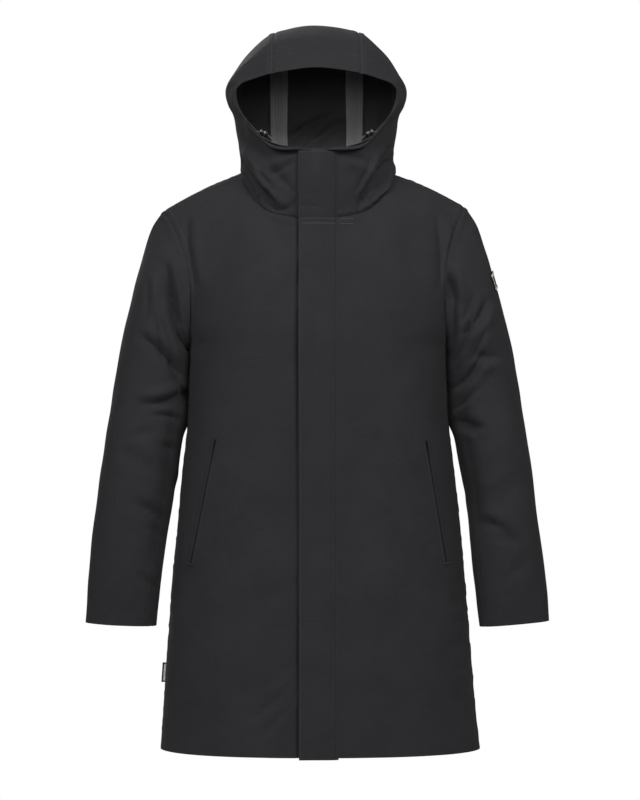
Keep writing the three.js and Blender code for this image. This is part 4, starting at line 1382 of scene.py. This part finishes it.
@dataclass
class Body:
    """The two fronts and the back."""

    finishes: Finishes
    book: SeamBook
    per: int = 6
    groove_x: float = -28.6
    groove_width: float = 2.3
    groove_depth: float = 3.2
    bag_rows: tuple[float, float] = (7, 15)
    bag_columns: tuple[float, float] = (3, 8)

    def build(self, stitches: Stitching) -> dict[str, Panel]:
        """Builds the panels.

        Args:
            stitches: takes the topstitching.

        Returns:
            The front panels by side, for what lies on them.
        """
        rows = fine(0, ROWS, self.per)
        panels = {}
        for side in ("right", "left"):
            columns = fine(0, FRONT_COLUMNS, self.per + 1)
            grid = smoothed(FORM.half(side, "front", rows, columns), rows, columns)
            panel = Panel(f"front_{side}_cloth", grid, side_sign(side), rows, columns)
            self._shape(panel, f"front_{side}", (Edge.LAST_COLUMN, Edge.LAST_ROW))
            if side == "right":
                beside_flap = (panel.points[..., 0] - self.groove_x) / self.groove_width
                panel.move(-self.groove_depth * np.exp(-(beside_flap ** 2)))
            panels[side] = panel
            for inset in DOUBLE_ROW:
                stitches.add(*panel.inset(Edge.LAST_ROW, inset, FRONT_NECK / FRONT_COLUMNS, 1))
                stitches.add(*panel.inset(Edge.LAST_COLUMN, inset, HEM_TO_ARMPIT / ROWS, 1))
            cloth(panel, f"front_{side}", self.finishes.shell)
            self._bag(side, panel)
        columns = fine(0, 2 * HALF_BACK, self.per + 1)
        back = Panel("back_cloth", smoothed(FORM.back(rows, columns), rows, columns), -1)
        self._shape(back, "back", tuple(edge for edge in Edge if edge is not Edge.FIRST_ROW))
        share = HEM_TO_ARMPIT / ROWS
        for inset in DOUBLE_ROW:
            stitches.add(*back.inset(Edge.FIRST_COLUMN, inset, share, 1))
            stitches.add(*back.inset(Edge.LAST_COLUMN, inset, share, 1))
        cloth(back, "back", self.finishes.shell)
        return panels

    def _bag(self, side: str, front: Panel) -> None:
        """The pocket bag, flat against the inside of its front.

        Args:
            side: "right" or "left", the wearer's.
            front: the finished front.
        """
        rows = (front.rows >= self.bag_rows[0]) & (front.rows <= self.bag_rows[1])
        columns = (front.columns >= self.bag_columns[0]) & (front.columns <= self.bag_columns[1])
        grid = front.points - front.normals * (WALL + THIN)
        bag = Panel(f"pocket_bag_{side}_cloth", grid[rows][:, columns], front.facing)
        cloth(bag, f"pocket_bag_{side}", self.finishes.lining, BAG_WALL)

    def _shape(self, panel: Panel, piece: str, sewn: tuple[Edge, ...]) -> None:
        """Works the unevenness, the folds and the sewn edges on a panel.

        Args:
            panel: the panel.
            piece: its name in the fold table.
            sewn: its sewn edges.
        """
        fade = edge_fade(panel, sewn, 9)
        calm = edge_fade(panel, sewn, 20)
        if piece != "back":
            calm = calm * edge_fade(panel, (Edge.FIRST_COLUMN,), 75)
        panel.move(uneven(panel.points) * calm)
        panel.move(fold_height(folds_of(piece), panel.points, panel.normals) * fade)
        panel.press(sewn, self.book)


@dataclass
class Sleeve:
    """One sleeve, cut as an upper and an under piece."""

    side: str
    finishes: Finishes
    book: SeamBook
    per: int = 7
    seam_inset: float = 2.2
    seam_allowance: float = 7.0

    def build(self, stitches: Stitching) -> None:
        """Builds the two pieces and stitches the upper one's seams.

        Args:
            stitches: takes the topstitching.
        """
        rows = fine(0, SLEEVE_ROWS, self.per)
        facing = -side_sign(self.side)
        spans = {"upper": (UNDER_LAST - 2 * ARMHOLE, UNDER_FIRST), "under": (UNDER_FIRST, UNDER_LAST)}
        for part, (first, last) in spans.items():
            columns = fine(first, last, self.per)
            panel = Panel(f"sleeve_{self.side}_{part}_cloth", FORM.sleeve(self.side, rows, columns), facing)
            fade = edge_fade(panel, (Edge.FIRST_ROW,), 10)
            clear = contact(panel.points, self.side)
            panel.move(uneven(panel.points) * edge_fade(panel, (Edge.FIRST_ROW,), 20) * clear)
            height = fold_height(folds_of(f"sleeve_{self.side}"), panel.points, panel.normals) * fade
            panel.move(np.where(height > 0, height * clear, height))
            panel.press((Edge.FIRST_ROW,), self.book, roll=0.7, quiet=clear)
            panel.press((Edge.FIRST_COLUMN, Edge.LAST_COLUMN), depth=0.9, width=1.5, roll=0.2, quiet=clear)
            self._lean(panel, 1 - clear)
            if part == "upper":
                stitches.add(*panel.inset(Edge.FIRST_COLUMN, self.seam_inset))
                stitches.add(*panel.inset(Edge.LAST_COLUMN, self.seam_inset))
            panel.tuck(self.seam_allowance, 0.9, np.array([facing, 0.0, 0.0]))
            cloth(panel, f"sleeve_{self.side}_{part}", self.finishes.shell)

    def _lean(self, panel: Panel, near: np.ndarray) -> None:
        """Rests the inner side of the sleeve on the body below the armpit.

        Args:
            panel: the sleeve piece.
            near: 1 against the body and 0 away from it.
        """
        z = panel.points[..., 2]
        share = near * ease(np.clip((-264 - z) / 12, 0, 1)) * ease(np.clip((z + 418) / 24, 0, 1))
        panel.points[..., 0] -= side_sign(self.side) * 2.6 * share
        panel.normals = normals_of(panel.points, panel.facing)


@dataclass
class Hood:
    """The three-panel hood with its lining and seam tapes."""

    finishes: Finishes
    book: SeamBook
    per: int = 11
    tunnel: float = 34
    brim_inset: float = 3.6
    face_inset: float = 3
    seam_insets: tuple[float, float] = (2.4, 8.5)
    lining_depth: float = 2.4
    tape_depth: float = 4.6
    tape_half: float = 0.52
    tape_ribs: int = 6
    tape_insets: tuple[float, float] = (1.6, 6.2)

    def build(self, stitches: Stitching) -> None:
        """Builds the hood and all that is inside it.

        Args:
            stitches: takes the topstitching.
        """
        rows = fine(0, HOOD_ROWS, self.per)
        first_seam, last_seam = SEAM_COLUMNS.values()
        parts = (
            ("side_right", 0, first_seam, (Edge.FIRST_ROW, Edge.LAST_COLUMN)),
            ("centre", first_seam, last_seam, (Edge.FIRST_ROW, Edge.FIRST_COLUMN, Edge.LAST_COLUMN)),
            ("side_left", last_seam, NECK_LOOP, (Edge.FIRST_ROW, Edge.FIRST_COLUMN)),
        )
        panels = {}
        for name, first, last, sewn in parts:
            panel = Panel(f"hood_{name}_cloth", FORM.hood(rows, fine(first, last, self.per)), -1)
            fade = edge_fade(panel, (Edge.FIRST_ROW,), 9)
            panel.move(uneven(panel.points) * 0.6 * edge_fade(panel, (Edge.FIRST_ROW,), 20))
            panel.move(fold_height(folds_of("hood"), panel.points, panel.normals) * fade)
            panel.press(sewn, self.book)
            brim = panel.distance(Edge.LAST_ROW)
            edge_roll = 0.5 * np.exp(-(((brim - 2.0) / 2.2) ** 2))
            tunnel_groove = 0.9 * np.exp(-(((brim - 36.5) / 1.8) ** 2))
            panel.move(edge_roll - tunnel_groove)
            panels[name] = panel
        for inset in self.seam_insets:
            stitches.add(*panels["side_right"].inset(Edge.LAST_COLUMN, inset))
            stitches.add(*panels["side_left"].inset(Edge.FIRST_COLUMN, inset))
        for panel in panels.values():
            stitches.add(*panel.inset(Edge.LAST_ROW, self.tunnel))
            stitches.add(*panel.inset(Edge.LAST_ROW, self.brim_inset))
        for side, edge in (("side_right", Edge.FIRST_COLUMN), ("side_left", Edge.LAST_COLUMN)):
            stitches.add(*panels[side].inset(edge, self.face_inset, CHIN_ROW / HOOD_ROWS, 1))
        for name, panel in panels.items():
            panel.tuck(3.0, 1.4)
            cloth(panel, f"hood_{name}", self.finishes.shell)
        self._lining()
        self._tapes()

    def _inside(self, rows: np.ndarray, columns: np.ndarray, out: float) -> np.ndarray:
        """Points inside the hood at a distance from its outer face."""
        grid = FORM.hood(rows, columns)
        return grid + normals_of(grid, -1) * out

    def _lining(self) -> None:
        """The lining's three panels, slack between their seams and clear of the hood's troughs."""
        rows = fine(1, HOOD_ROWS - 2, 6)
        first_seam, last_seam = SEAM_COLUMNS.values()
        parts = (
            ("right", 1, first_seam, (Edge.LAST_COLUMN,)),
            ("centre", first_seam, last_seam, (Edge.FIRST_COLUMN, Edge.LAST_COLUMN)),
            ("left", last_seam, NECK_LOOP - 1, (Edge.FIRST_COLUMN,)),
        )
        for name, first, last, sewn in parts:
            grid = self._inside(rows, fine(first, last, 7), -self.lining_depth)
            panel = Panel(f"hood_lining_{name}_cloth", grid, -1)
            inward = normals_of(grid, 1)
            folds = fold_height(folds_of("lining"), grid, inward) * edge_fade(panel, sewn, 12, 10)
            slack = -np.clip(folds, -0.3, 10) - 1.2 + 0.5 * LINING_RIPPLE(grid)
            panel.move(slack + sunk(panel))
            panel.press(sewn, depth=-0.4, roll=0)
            cloth(panel, f"hood_lining_{name}", self.finishes.lining, THIN)

    def _tapes(self) -> None:
        """The two ribbed tapes over the hood's seams, each stitched twice at both edges."""
        rows = fine(1.2, HOOD_ROWS - 1.2, 7)
        steps = 41
        for side, column in SEAM_COLUMNS.items():
            columns = np.linspace(column - self.tape_half, column + self.tape_half, steps)
            grid = self._inside(rows, columns, -self.tape_depth)
            panel = Panel(f"hood_tape_{side}_cloth", grid, -1)
            share = np.linspace(0, 1, steps)
            selvedge = (np.abs(share - 0.5) - 0.46) / 0.05
            ribs = 0.35 * np.cos(share * 2 * self.tape_ribs * math.pi) + 0.5 * np.exp(-(selvedge ** 2))
            panel.move(sunk(panel) - 0.5 - ribs)
            cloth(panel, f"hood_tape_{side}", self.finishes.tape, THIN)
            stitch = Stitching(f"hood_tape_{side}_stitches")
            for edge in (Edge.FIRST_COLUMN, Edge.LAST_COLUMN):
                for inset in self.tape_insets:
                    line, normals = panel.inset(edge, inset)
                    stitch.add(line - normals * THIN, -normals)
            stitch.build(self.finishes.stripe)


@dataclass
class Closure:
    """The placket flap over the front zip."""

    finishes: Finishes
    fronts: dict[str, Panel]
    free_edge: float = -27
    sewn_edge: float = 33
    chin: float = 4.6
    chin_level: tuple[float, float] = (-11, 13)
    zip_half: float = 12
    zip_depth: float = 2.2
    neck_rows: tuple[float, float] = (-79.5, -87.0)
    neck_flap: tuple[float, float] = (-24, 30)
    neck_front: tuple[float, float] = (34, 57)
    low_tack: tuple[float, float, float] = (-694.0, -21, 5)  # z, first x, last x

    def build(self, stitches: Stitching) -> None:
        """Builds the flap and the zip's tape and coil, and paints the slider's solid.

        Args:
            stitches: takes the topstitching.
        """
        flap = np.array(FLAP, float)
        even = np.linspace(self.free_edge, self.sewn_edge, 25)
        x = np.unique(np.round(np.concatenate([even, [-26.6, -26, -25, 32.6, 32]]), 3))
        out = pchip(flap[:, 0], flap[:, 1], x)
        sewn = 1 - 0.9 * ease(np.clip((x - 24) / 8.5, 0, 1))
        collar_rows = fine(0, CHIN_ROW + 0.06, 8, False)[1:]
        grid = self._strip(x, fine(-0.07, ROWS, 7, False), collar_rows, (out + WALL) * sewn)
        grid = np.concatenate([grid, self._chin(x, grid)])
        panel = Panel("placket_flap_cloth", grid, 1)
        panel.move(uneven(grid) * 0.5 + self._lift(grid))
        for inset in (2.6, 8.0):
            stitches.add(*panel.inset(Edge.LAST_COLUMN, inset))
        stitches.add(*panel.inset(Edge.FIRST_COLUMN, 2.2))
        stitches.add(*panel.inset(Edge.LAST_ROW, 5.5))
        neck = Stitching("neck_stitches", Thread(3.3, 3.0, 1.4, 0.65))
        for z in self.neck_rows:
            neck.add(*panel.across(z, *self.neck_flap))
            neck.add(*self.fronts["left"].across(z, *self.neck_front))
        neck.build(self.finishes.bright)
        stitches.add(*panel.across(*self.low_tack))
        cloth(panel, "placket_flap", self.finishes.shell, WALL)
        self._zip()

    def _chin(self, x: np.ndarray, grid: np.ndarray) -> np.ndarray:
        """The flap's top row, level over the gap between the hood's two edges.

        Args:
            x: the flap's columns.
            grid: its rows so far.

        Returns:
            The row.
        """
        chin = grid[-1:] + unit(grid[-1:] - grid[-2:-1]) * self.chin
        outer = (x < self.chin_level[0]) | (x > self.chin_level[1])
        for axis, proud in ((1, -0.7), (2, 0.0)):
            chin[0, :, axis] = np.interp(x, x[outer], chin[0, outer, axis]) + proud * ~outer
        return chin

    def _lift(self, grid: np.ndarray) -> np.ndarray:
        """How far the free edge stands proud from chest to waist, less the small pulls across the flap.

        Args:
            grid: the flap's grid.

        Returns:
            A height for each point.
        """
        x, z = grid[..., 0], grid[..., 2]
        free = np.clip((-x - 4) / 22, 0, 1)
        along = np.exp(-(((z + 250) / 100) ** 2)) * 3.6 + 2.0
        across = np.clip((x + 30) / 40, 0, 1)
        pulls = np.zeros(x.shape)
        for height, slope, middle, wide, deep in FLAP_PULLS:
            beside = (z - height - slope * x) / 3.5
            pulls += deep * np.exp(-(beside ** 2)) * np.exp(-(((x - middle) / wide) ** 2))
        return free * along - pulls * (0.4 + 0.6 * across)

    def _strip(self, x: np.ndarray, front_rows: np.ndarray, collar_rows: np.ndarray,
               out: np.ndarray) -> np.ndarray:
        """A strip across the centre front, which follows the fronts and then the collar.

        Args:
            x: the strip's columns.
            front_rows, collar_rows: its rows, in the grids of the fronts and the hood.
            out: how far each column lies outside the surface.

        Returns:
            The strip's points.
        """
        halves = []
        for side in ("right", "left"):
            share = fine(0, 3, 12, False)
            columns = share if side == "right" else NECK_LOOP - share[::-1]
            front = FORM.half(side, "front", front_rows, share)
            collar = FORM.hood(collar_rows, columns)
            if side == "left":
                collar = collar[:, ::-1]
            body = np.concatenate([front, collar])
            halves.append((body, normals_of(body, side_sign(side))))
        lines = []
        for j in range(len(halves[0][0])):
            body, normal = (np.concatenate([halves[0][k][j][::-1], halves[1][k][j]]) for k in (0, 1))
            up = unit(between(x, body[:, 0], normal))
            lines.append(between(x, body[:, 0], body) + up * out[:, None])
        return np.array(lines)

    def _zip(self) -> None:
        """The tape and the coil under the flap, and the paint of the slider's solid."""
        x = np.linspace(-self.zip_half, self.zip_half, 9)
        rows, collar_rows = fine(0.1, ROWS, 3, False), fine(0, CHIN_ROW - 1, 3, False)[1:]
        grid = self._strip(x, rows, collar_rows, np.full(len(x), -self.zip_depth))
        panel = Panel("front_zip_tape", grid, 1)
        cloth(panel, "front_zip", self.finishes.zip, THIN)
        teeth = Stitching("front_zip_teeth", Thread(1.8, 1.3, 4.6, 1.5))
        middle = len(x) // 2
        teeth.add(panel.points[:, middle], panel.normals[:, middle])
        teeth.build(self.finishes.plastic)
        paint(bpy.data.objects["zip_slider"], self.finishes.metal)


def paint(obj: bpy.types.Object, material: bpy.types.Material) -> None:
    """Gives an object one material."""
    if not obj.material_slots:
        obj.data.materials.append(material)
    for place in obj.material_slots:
        place.material = material


FRONTWARD = np.array([0.0, -1.0, 0.0])
RIGHTWARD = np.array([-1.0, 0.0, 0.0])


def facing_of(grid: np.ndarray, place: tuple[int, int], way: np.ndarray) -> int:
    """1 or -1, whichever turns a grid's normal at a place along a way."""
    return 1 if normals_of(grid, 1)[place] @ way > 0 else -1


@dataclass
class Pocket:
    """A slanted zip pocket with narrow lips."""

    side: str
    finishes: Finishes
    panel: Panel
    steps: int = 60
    lip_columns: int = 7
    lip_edges: tuple[float, float] = (5.2, -4.4)
    lip_wall: float = 0.6
    gape: float = 0.75
    zip_half: float = 1.9

    def build(self) -> None:
        """Builds the zip, the lips on both sides of it and the bar tack."""
        share = np.linspace(0, 1, self.steps)
        across = np.array([-self.zip_half, 0, self.zip_half])
        grid = self._grid(share, across, np.array([0.35, 0.6, 0.35]))
        tape = Panel(f"pocket_zip_{self.side}_tape", grid, side_sign(self.side))
        cloth(tape, f"pocket_zip_{self.side}", self.finishes.zip, self.lip_wall)
        self._lips(share)
        self._tack()

    def _lips(self, share: np.ndarray) -> None:
        """The two lips, parted a little at the upper end. The first one stands for the welt's solid.

        Args:
            share: shares of the slit's length.
        """
        upper, lower = share / 0.13, (share - 0.9) / 0.12
        parted = np.exp(-(upper ** 2)) * 1.3 + 0.25 * np.exp(-(lower ** 2))
        rise = 0.15 + 1.35 * np.sin(np.linspace(0.22, 1, self.lip_columns) * math.pi) ** 0.7
        for k, far in enumerate(self.lip_edges):
            near = math.copysign(1, far) * (self.gape + parted)
            across = near[:, None] + (far - near)[:, None] * np.linspace(0, 1, self.lip_columns)[None]
            grid = self._grid(share, across, rise)
            middle = (self.steps // 2, self.lip_columns // 2)
            panel = Panel(f"pocket_lip_{self.side}_{k}", grid, facing_of(grid, middle, FRONTWARD))
            lip = wall(panel, self.lip_wall, self.finishes.shell)
            if k == 0:
                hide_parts(f"pocket_welt_{self.side}")
            declare_sheet(panel, LIP_CUT)

    def _tack(self) -> None:
        """The bar of close stitches across the slit's lower end."""
        steps = 8
        bar = self._grid(np.array([0.985, 1.0, 1.015]), np.linspace(-5, 6, steps), np.full(steps, 2.0))
        middle = (1, steps // 2)
        normal = normals_of(bar, facing_of(bar, middle, FRONTWARD))[middle]
        tack = Stitching(f"pocket_tack_{self.side}", Thread(0.9, 0.8, 2.6, 0.5))
        tack.add(bar[1], np.tile(normal, (steps, 1)))
        tack.build(self.finishes.thread)

    def _grid(self, share: np.ndarray, across: np.ndarray, out: np.ndarray) -> np.ndarray:
        """Points along the slit: shares of its length, distances across it and heights over the front."""
        (x0, z0), (x1, z1) = POCKETS[self.side]
        slope = np.array([x1 - x0, z1 - z0])
        slope /= np.linalg.norm(slope)
        beside = np.array([-slope[1], slope[0]]) * side_sign(self.side)
        across = np.broadcast_to(across, (len(share), across.shape[-1]))
        x = x0 + (x1 - x0) * share[:, None] + beside[0] * across
        z = z0 + (z1 - z0) * share[:, None] + beside[1] * across
        points, normals = surface_at(self.panel, x, z)
        return points + normals * out[None, :, None]


def surface_at(panel: Panel, x: np.ndarray, z: np.ndarray) -> tuple[np.ndarray, np.ndarray]:
    """Points and normals of a front panel at places in X and Z below the armpit.

    Args:
        panel: the finished front.
        x, z: the places, two arrays of one shape.

    Returns:
        The points and their unit normals.
    """
    flat = panel.points.reshape(-1, 3)
    tree = KDTree(len(flat))
    for i, p in enumerate(flat):
        tree.insert((p[0], 0, p[2]), i)
    tree.balance()
    normals = panel.normals.reshape(-1, 3)
    points, ups = np.zeros((*x.shape, 3)), np.zeros((*x.shape, 3))
    for place in np.ndindex(x.shape):
        near = tree.find_n((x[place], 0, z[place]), 6)
        index = [i for _, i, _ in near]
        weight = np.array([1 / (d + 0.3) for _, _, d in near])
        weight /= weight.sum()
        normal = unit((normals[index] * weight[:, None]).sum(axis=0))
        # each neighbour's tangent plane, met by the line along Y through the place
        p, n = flat[index], normals[index]
        y = p[:, 1] - (n[:, 0] * (x[place] - p[:, 0]) + n[:, 2] * (z[place] - p[:, 2])) / n[:, 1]
        points[place] = (x[place], (y * weight).sum(), z[place])
        ups[place] = normal
    return points, ups


def ring_faces(rings: int, sides: int) -> list[tuple[int, int, int, int]]:
    """Quads between rings of points, the last of which meets the first again.

    Args:
        rings: how many rings there are.
        sides: how many points each has.

    Returns:
        Four indices for each quad.
    """
    faces = []
    for k in range(rings):
        near, far = k * sides, (k + 1) % rings * sides
        for i in range(sides):
            after = (i + 1) % sides
            faces.append((near + i, near + after, far + after, far + i))
    return faces


@dataclass
class HoodCord:
    """A thin elastic cord in a hood cheek with its lock."""

    side: str
    finishes: Finishes

    def build(self) -> None:
        """Builds the cord as one curve and the lock round it."""
        points = np.array(CORDS[self.side], float)
        line = path(points, np.linspace(0, 1, 22))
        data = bpy.data.curves.new(f"hood_cord_{self.side}_line", "CURVE")
        data.dimensions = "3D"
        data.bevel_depth, data.bevel_resolution, data.use_fill_caps = CORD_RADIUS * MM, 4, True
        spline = data.splines.new("POLY")
        spline.points.add(len(line) - 1)
        spline.points.foreach_set("co", np.concatenate([line * MM, np.ones((len(line), 1))], axis=1).ravel())
        data.materials.append(self.finishes.cord)
        cord = bpy.data.objects.new(f"hood_cord_{self.side}_elastic", data)
        bpy.context.scene.collection.objects.link(cord)
        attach(cord, "root")
        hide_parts(f"hood_cord_{self.side}")
        length = run_of(line)[-1] * MM
        lock = self._lock(line)

    def _lock(self, line: np.ndarray) -> bpy.types.Object:
        """A small barrel lock with a waist and a push button, round the cord.

        Args:
            line: the cord's points.

        Returns:
            The lock.
        """
        along = run_of(line)
        place = LOCK_SHARE * along[-1]
        at = between(place, along, line)
        way = unit(between(place + 1, along, line) - at)
        aside = unit(np.cross(way, FRONTWARD * -1))
        up = np.cross(way, aside)
        angle = np.linspace(0, 2 * math.pi, LOCK_SIDES, endpoint=False)
        ring = np.cos(angle)[:, None] * aside + np.sin(angle)[:, None] * up
        points = np.concatenate([at + way * height + ring * radius for radius, height in LOCK_PROFILE])
        faces = ring_faces(len(LOCK_PROFILE), LOCK_SIDES)
        lock = mesh_object(f"cord_lock_{self.side}_barrel", points, faces, self.finishes.plastic, sharp=40)
        for k, (radius, height) in enumerate(EYELETS):
            self._eyelet(f"cord_lock_{self.side}_eyelet_{k}", at + way * height, ring, way, radius)
        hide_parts(f"cord_lock_{self.side}")
        return lock

    def _eyelet(self, name: str, centre: np.ndarray, ring: np.ndarray, way: np.ndarray,
                radius: float) -> None:
        """A thin metal ring on the lock.

        Args:
            name: the object's name.
            centre: its middle.
            ring: the ways out all round.
            way: the way along the cord.
            radius: in millimetres.
        """
        thick = 0.6
        turns = np.linspace(0, 2 * math.pi, 8, endpoint=False)
        points = np.concatenate([
            centre + ring * (radius + thick * math.cos(t)) + way * thick * math.sin(t) for t in turns
        ])
        eyelet = mesh_object(name, points, ring_faces(len(turns), len(ring)), self.finishes.eyelet, sharp=80)


@dataclass
class Labels:
    """The bare sleeve patch with its border and the bare folded side label."""

    finishes: Finishes
    patch_rows: tuple[float, float] = (5.35, 6.45)
    patch_columns: tuple[float, float] = (9.36, 11.8)
    side_label_z: tuple[float, float] = (-805, -774)

    def build(self) -> None:
        """Builds both."""
        self._patch()
        self._side_label()

    def _patch(self) -> None:
        """The patch, which lies between two of the left sleeve's rows and wraps its outer edge."""
        grid = FORM.sleeve("left", np.linspace(*self.patch_rows, 30), np.linspace(*self.patch_columns, 44))
        grid = grid + normals_of(grid, -1) * 1.2
        panel = Panel("sleeve_patch_cloth", grid, -1)
        cloth(panel, "sleeve_patch", self.finishes.label, THIN)
        border = Stitching("sleeve_patch_border", Thread(0.7, 0.68, 4.4, 0.7))
        for edge in Edge:
            border.add(*panel.inset(edge, 2.0))
        border.build(self.finishes.border)

    def _side_label(self) -> None:
        """The folded label, which stands out of the side seam."""
        z = np.linspace(*self.side_label_z, 16)
        rows = (z - HEM_Z) / (ARMPIT_Z - HEM_Z) * HEM_TO_ARMPIT
        seam = FORM.half("right", "front", rows, np.array([float(FRONT_COLUMNS)]))[:, 0]
        turns = np.linspace(-math.pi / 2, math.pi / 2, 9)
        fold = [(5.2 + 0.9 * math.cos(t), 0.95 * math.sin(t)) for t in turns]
        loop = [(0.4, -1.0), (2.0, -1.05), (4.0, -1.0), *fold, (4.0, 1.0), (2.0, 1.05), (0.4, 1.0)]
        grid = np.array([[(x - out, y, h) for out, y in loop] for (x, _, _), h in zip(seam, z)])
        panel = Panel("side_label_cloth", grid, facing_of(grid, (8, 8), RIGHTWARD))
        label = wall(panel, LABEL_WALL, self.finishes.border)
        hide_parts("side_label")
        declare_sheet(panel)
        outline = Stitching("side_label_outline", Thread(0.8, 0.82, 2.4, 0.4))
        for edge in (Edge.FIRST_ROW, Edge.LAST_ROW):
            outline.add(*panel.inset(edge, 1.2))
        for column in (3, len(loop) // 2, len(loop) - 4):
            outline.add(panel.points[:, column], panel.normals[:, column])
        outline.build(self.finishes.label)


# Stage


@dataclass
class Stage:
    """The floor, the white surround, the lights and the camera."""

    camera_place: tuple[float, float, float] = (0.0, -4.2, -0.3595)
    focal_px: float = 2658.0
    photo_height: int = 800
    shift_px: float = 3.0
    sensor: float = 36
    floor_z: float = -1.5
    floor_radius: float = 3.0
    floor_sides: int = 96

    def build(self) -> None:
        """Builds them all, the lights as name, place, target, size and power."""
        self._camera()
        self._world()
        self._floor()
        self._area("key", (1.2, -2.1, 1.4), (0, 0, -0.05), 1.2, 35)
        self._area("fill", (-1.4, -2.1, 1.4), (0, 0, -0.05), 1.5, 34)
        self._area("top", (-0.2, -1.8, 2.4), (0, 0, -0.2), 1.6, 3)
        self._area("front", (-0.1, -3.0, 0.35), (0, 0, 0.1), 0.9, 10)
        self._area("back", (-1.2, 3.2, 1.8), (0, 0, -0.35), 2.0, 60)
        bpy.context.scene.view_settings.view_transform = "Standard"
        bpy.context.scene.view_settings.look = "None"

    def _camera(self) -> None:
        """The camera, level and in front."""
        data = bpy.data.cameras.new("camera")
        data.sensor_width = self.sensor
        data.lens = self.focal_px / self.photo_height * self.sensor
        data.shift_x = self.shift_px / self.photo_height
        camera = bpy.data.objects.new("camera", data)
        camera.location = self.camera_place
        camera.rotation_euler = (math.pi / 2, 0, 0)
        bpy.context.scene.collection.objects.link(camera)
        bpy.context.scene.camera = camera

    def _world(self) -> None:
        """A surround that the camera sees as white and that lights the coat softly from above."""
        world = bpy.data.worlds.new("surround")
        world.use_nodes = True
        bpy.context.scene.world = world
        tree = world.node_tree
        s = Shader(tree)
        tree.nodes.clear()
        way = s.node("ShaderNodeTexCoord").outputs["Generated"]
        high = s.node("ShaderNodeSeparateXYZ", {0: way}).outputs[2]
        share = s.math("ADD", s.math("MULTIPLY", high, 0.5), 0.5, clamp=True)
        glow = s.math("ADD", s.math("MULTIPLY", share, 0.12), 0.05)
        seen = s.node("ShaderNodeLightPath").outputs["Is Camera Ray"]
        soft = s.node("ShaderNodeBackground", {"Color": (1, 1, 1, 1), "Strength": glow})
        white = s.node("ShaderNodeBackground", {"Color": (1, 1, 1, 1), "Strength": 1.0})
        mixed = s.node("ShaderNodeMixShader", {0: seen, 1: soft.outputs[0], 2: white.outputs[0]})
        out = tree.nodes.new("ShaderNodeOutputWorld")
        tree.links.new(mixed.outputs[0], out.inputs[0])

    def _floor(self) -> None:
        """A round pale floor that fades out to the surround."""
        sides = self.floor_sides
        angle = np.linspace(0, 2 * math.pi, sides, endpoint=False)
        ring = np.stack([np.cos(angle), np.sin(angle)], axis=-1) * self.floor_radius
        vertices = [(0, 0, self.floor_z), *[(x, y, self.floor_z) for x, y in ring]]
        faces = [(0, i + 1, (i + 1) % sides + 1) for i in range(sides)]
        mesh = bpy.data.meshes.new("floor")
        mesh.from_pydata(vertices, [], faces)
        floor = bpy.data.objects.new("floor", mesh)
        material = bpy.data.materials.new("floor_pale")
        material.use_nodes = True
        tree = material.node_tree
        s = Shader(tree)
        bsdf = tree.nodes["Principled BSDF"]
        bsdf.inputs["Base Color"].default_value = (0.78, 0.78, 0.78, 1)
        bsdf.inputs["Roughness"].default_value = 0.9
        place = s.node("ShaderNodeTexCoord").outputs["Object"]
        split = s.node("ShaderNodeSeparateXYZ", {0: place})
        x, y = split.outputs[0], split.outputs[1]
        radius = s.math("SQRT", s.math("ADD", s.math("MULTIPLY", x, x), s.math("MULTIPLY", y, y)))
        beyond = s.math("SUBTRACT", radius, 0.9, clamp=True)
        fade = s.math("SUBTRACT", 1.0, s.math("DIVIDE", beyond, 1.0, clamp=True), clamp=True)
        clear = s.node("ShaderNodeBsdfTransparent")
        mixed = s.node("ShaderNodeMixShader", {0: fade, 1: clear.outputs[0], 2: bsdf.outputs[0]})
        tree.links.new(mixed.outputs[0], tree.nodes["Material Output"].inputs[0])
        mesh.materials.append(material)
        bpy.context.scene.collection.objects.link(floor)
        floor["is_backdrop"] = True

    def _area(self, name: str, place: Sequence[float], target: Sequence[float], size: float,
              power: float) -> None:
        """A round area light at a place, turned to a target.

        Args:
            name: the light's name.
            place, target: in metres.
            size: across, in metres.
            power: in watts.
        """
        data = bpy.data.lights.new(name, "AREA")
        data.shape, data.size, data.energy = "DISK", size, power
        light = bpy.data.objects.new(name, data)
        light.location = place
        light.rotation_euler = (Vector(target) - Vector(place)).to_track_quat("-Z", "Y").to_euler()
        bpy.context.scene.collection.objects.link(light)


def main() -> None:
    """Builds the coat in order."""
    logging.basicConfig(level=logging.INFO)
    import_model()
    cad = [list(corner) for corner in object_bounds()]
    Stage().build()
    finishes = Finishes()
    stitches = Stitching("topstitching")
    book = SeamBook()
    fronts = Body(finishes, book).build(stitches)
    for side in ("right", "left"):
        Sleeve(side, finishes, book).build(stitches)
    Hood(finishes, book).build(stitches)
    Closure(finishes, fronts).build(stitches)
    for side in ("right", "left"):
        Pocket(side, finishes, fronts[side]).build()
        HoodCord(side, finishes).build()
    Labels(finishes).build()
    stitches.build(finishes.thread)
    for piece in bpy.context.scene.objects:
        LOG.info("in the scene: %s", piece.name)
    looks = [list(corner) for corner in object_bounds()]
    ({
        "cad": [[float(v) for v in corner] for corner in cad],
        "looks": [[float(v) for v in corner] for corner in looks],
    })


if __name__ == "__main__":
    main()
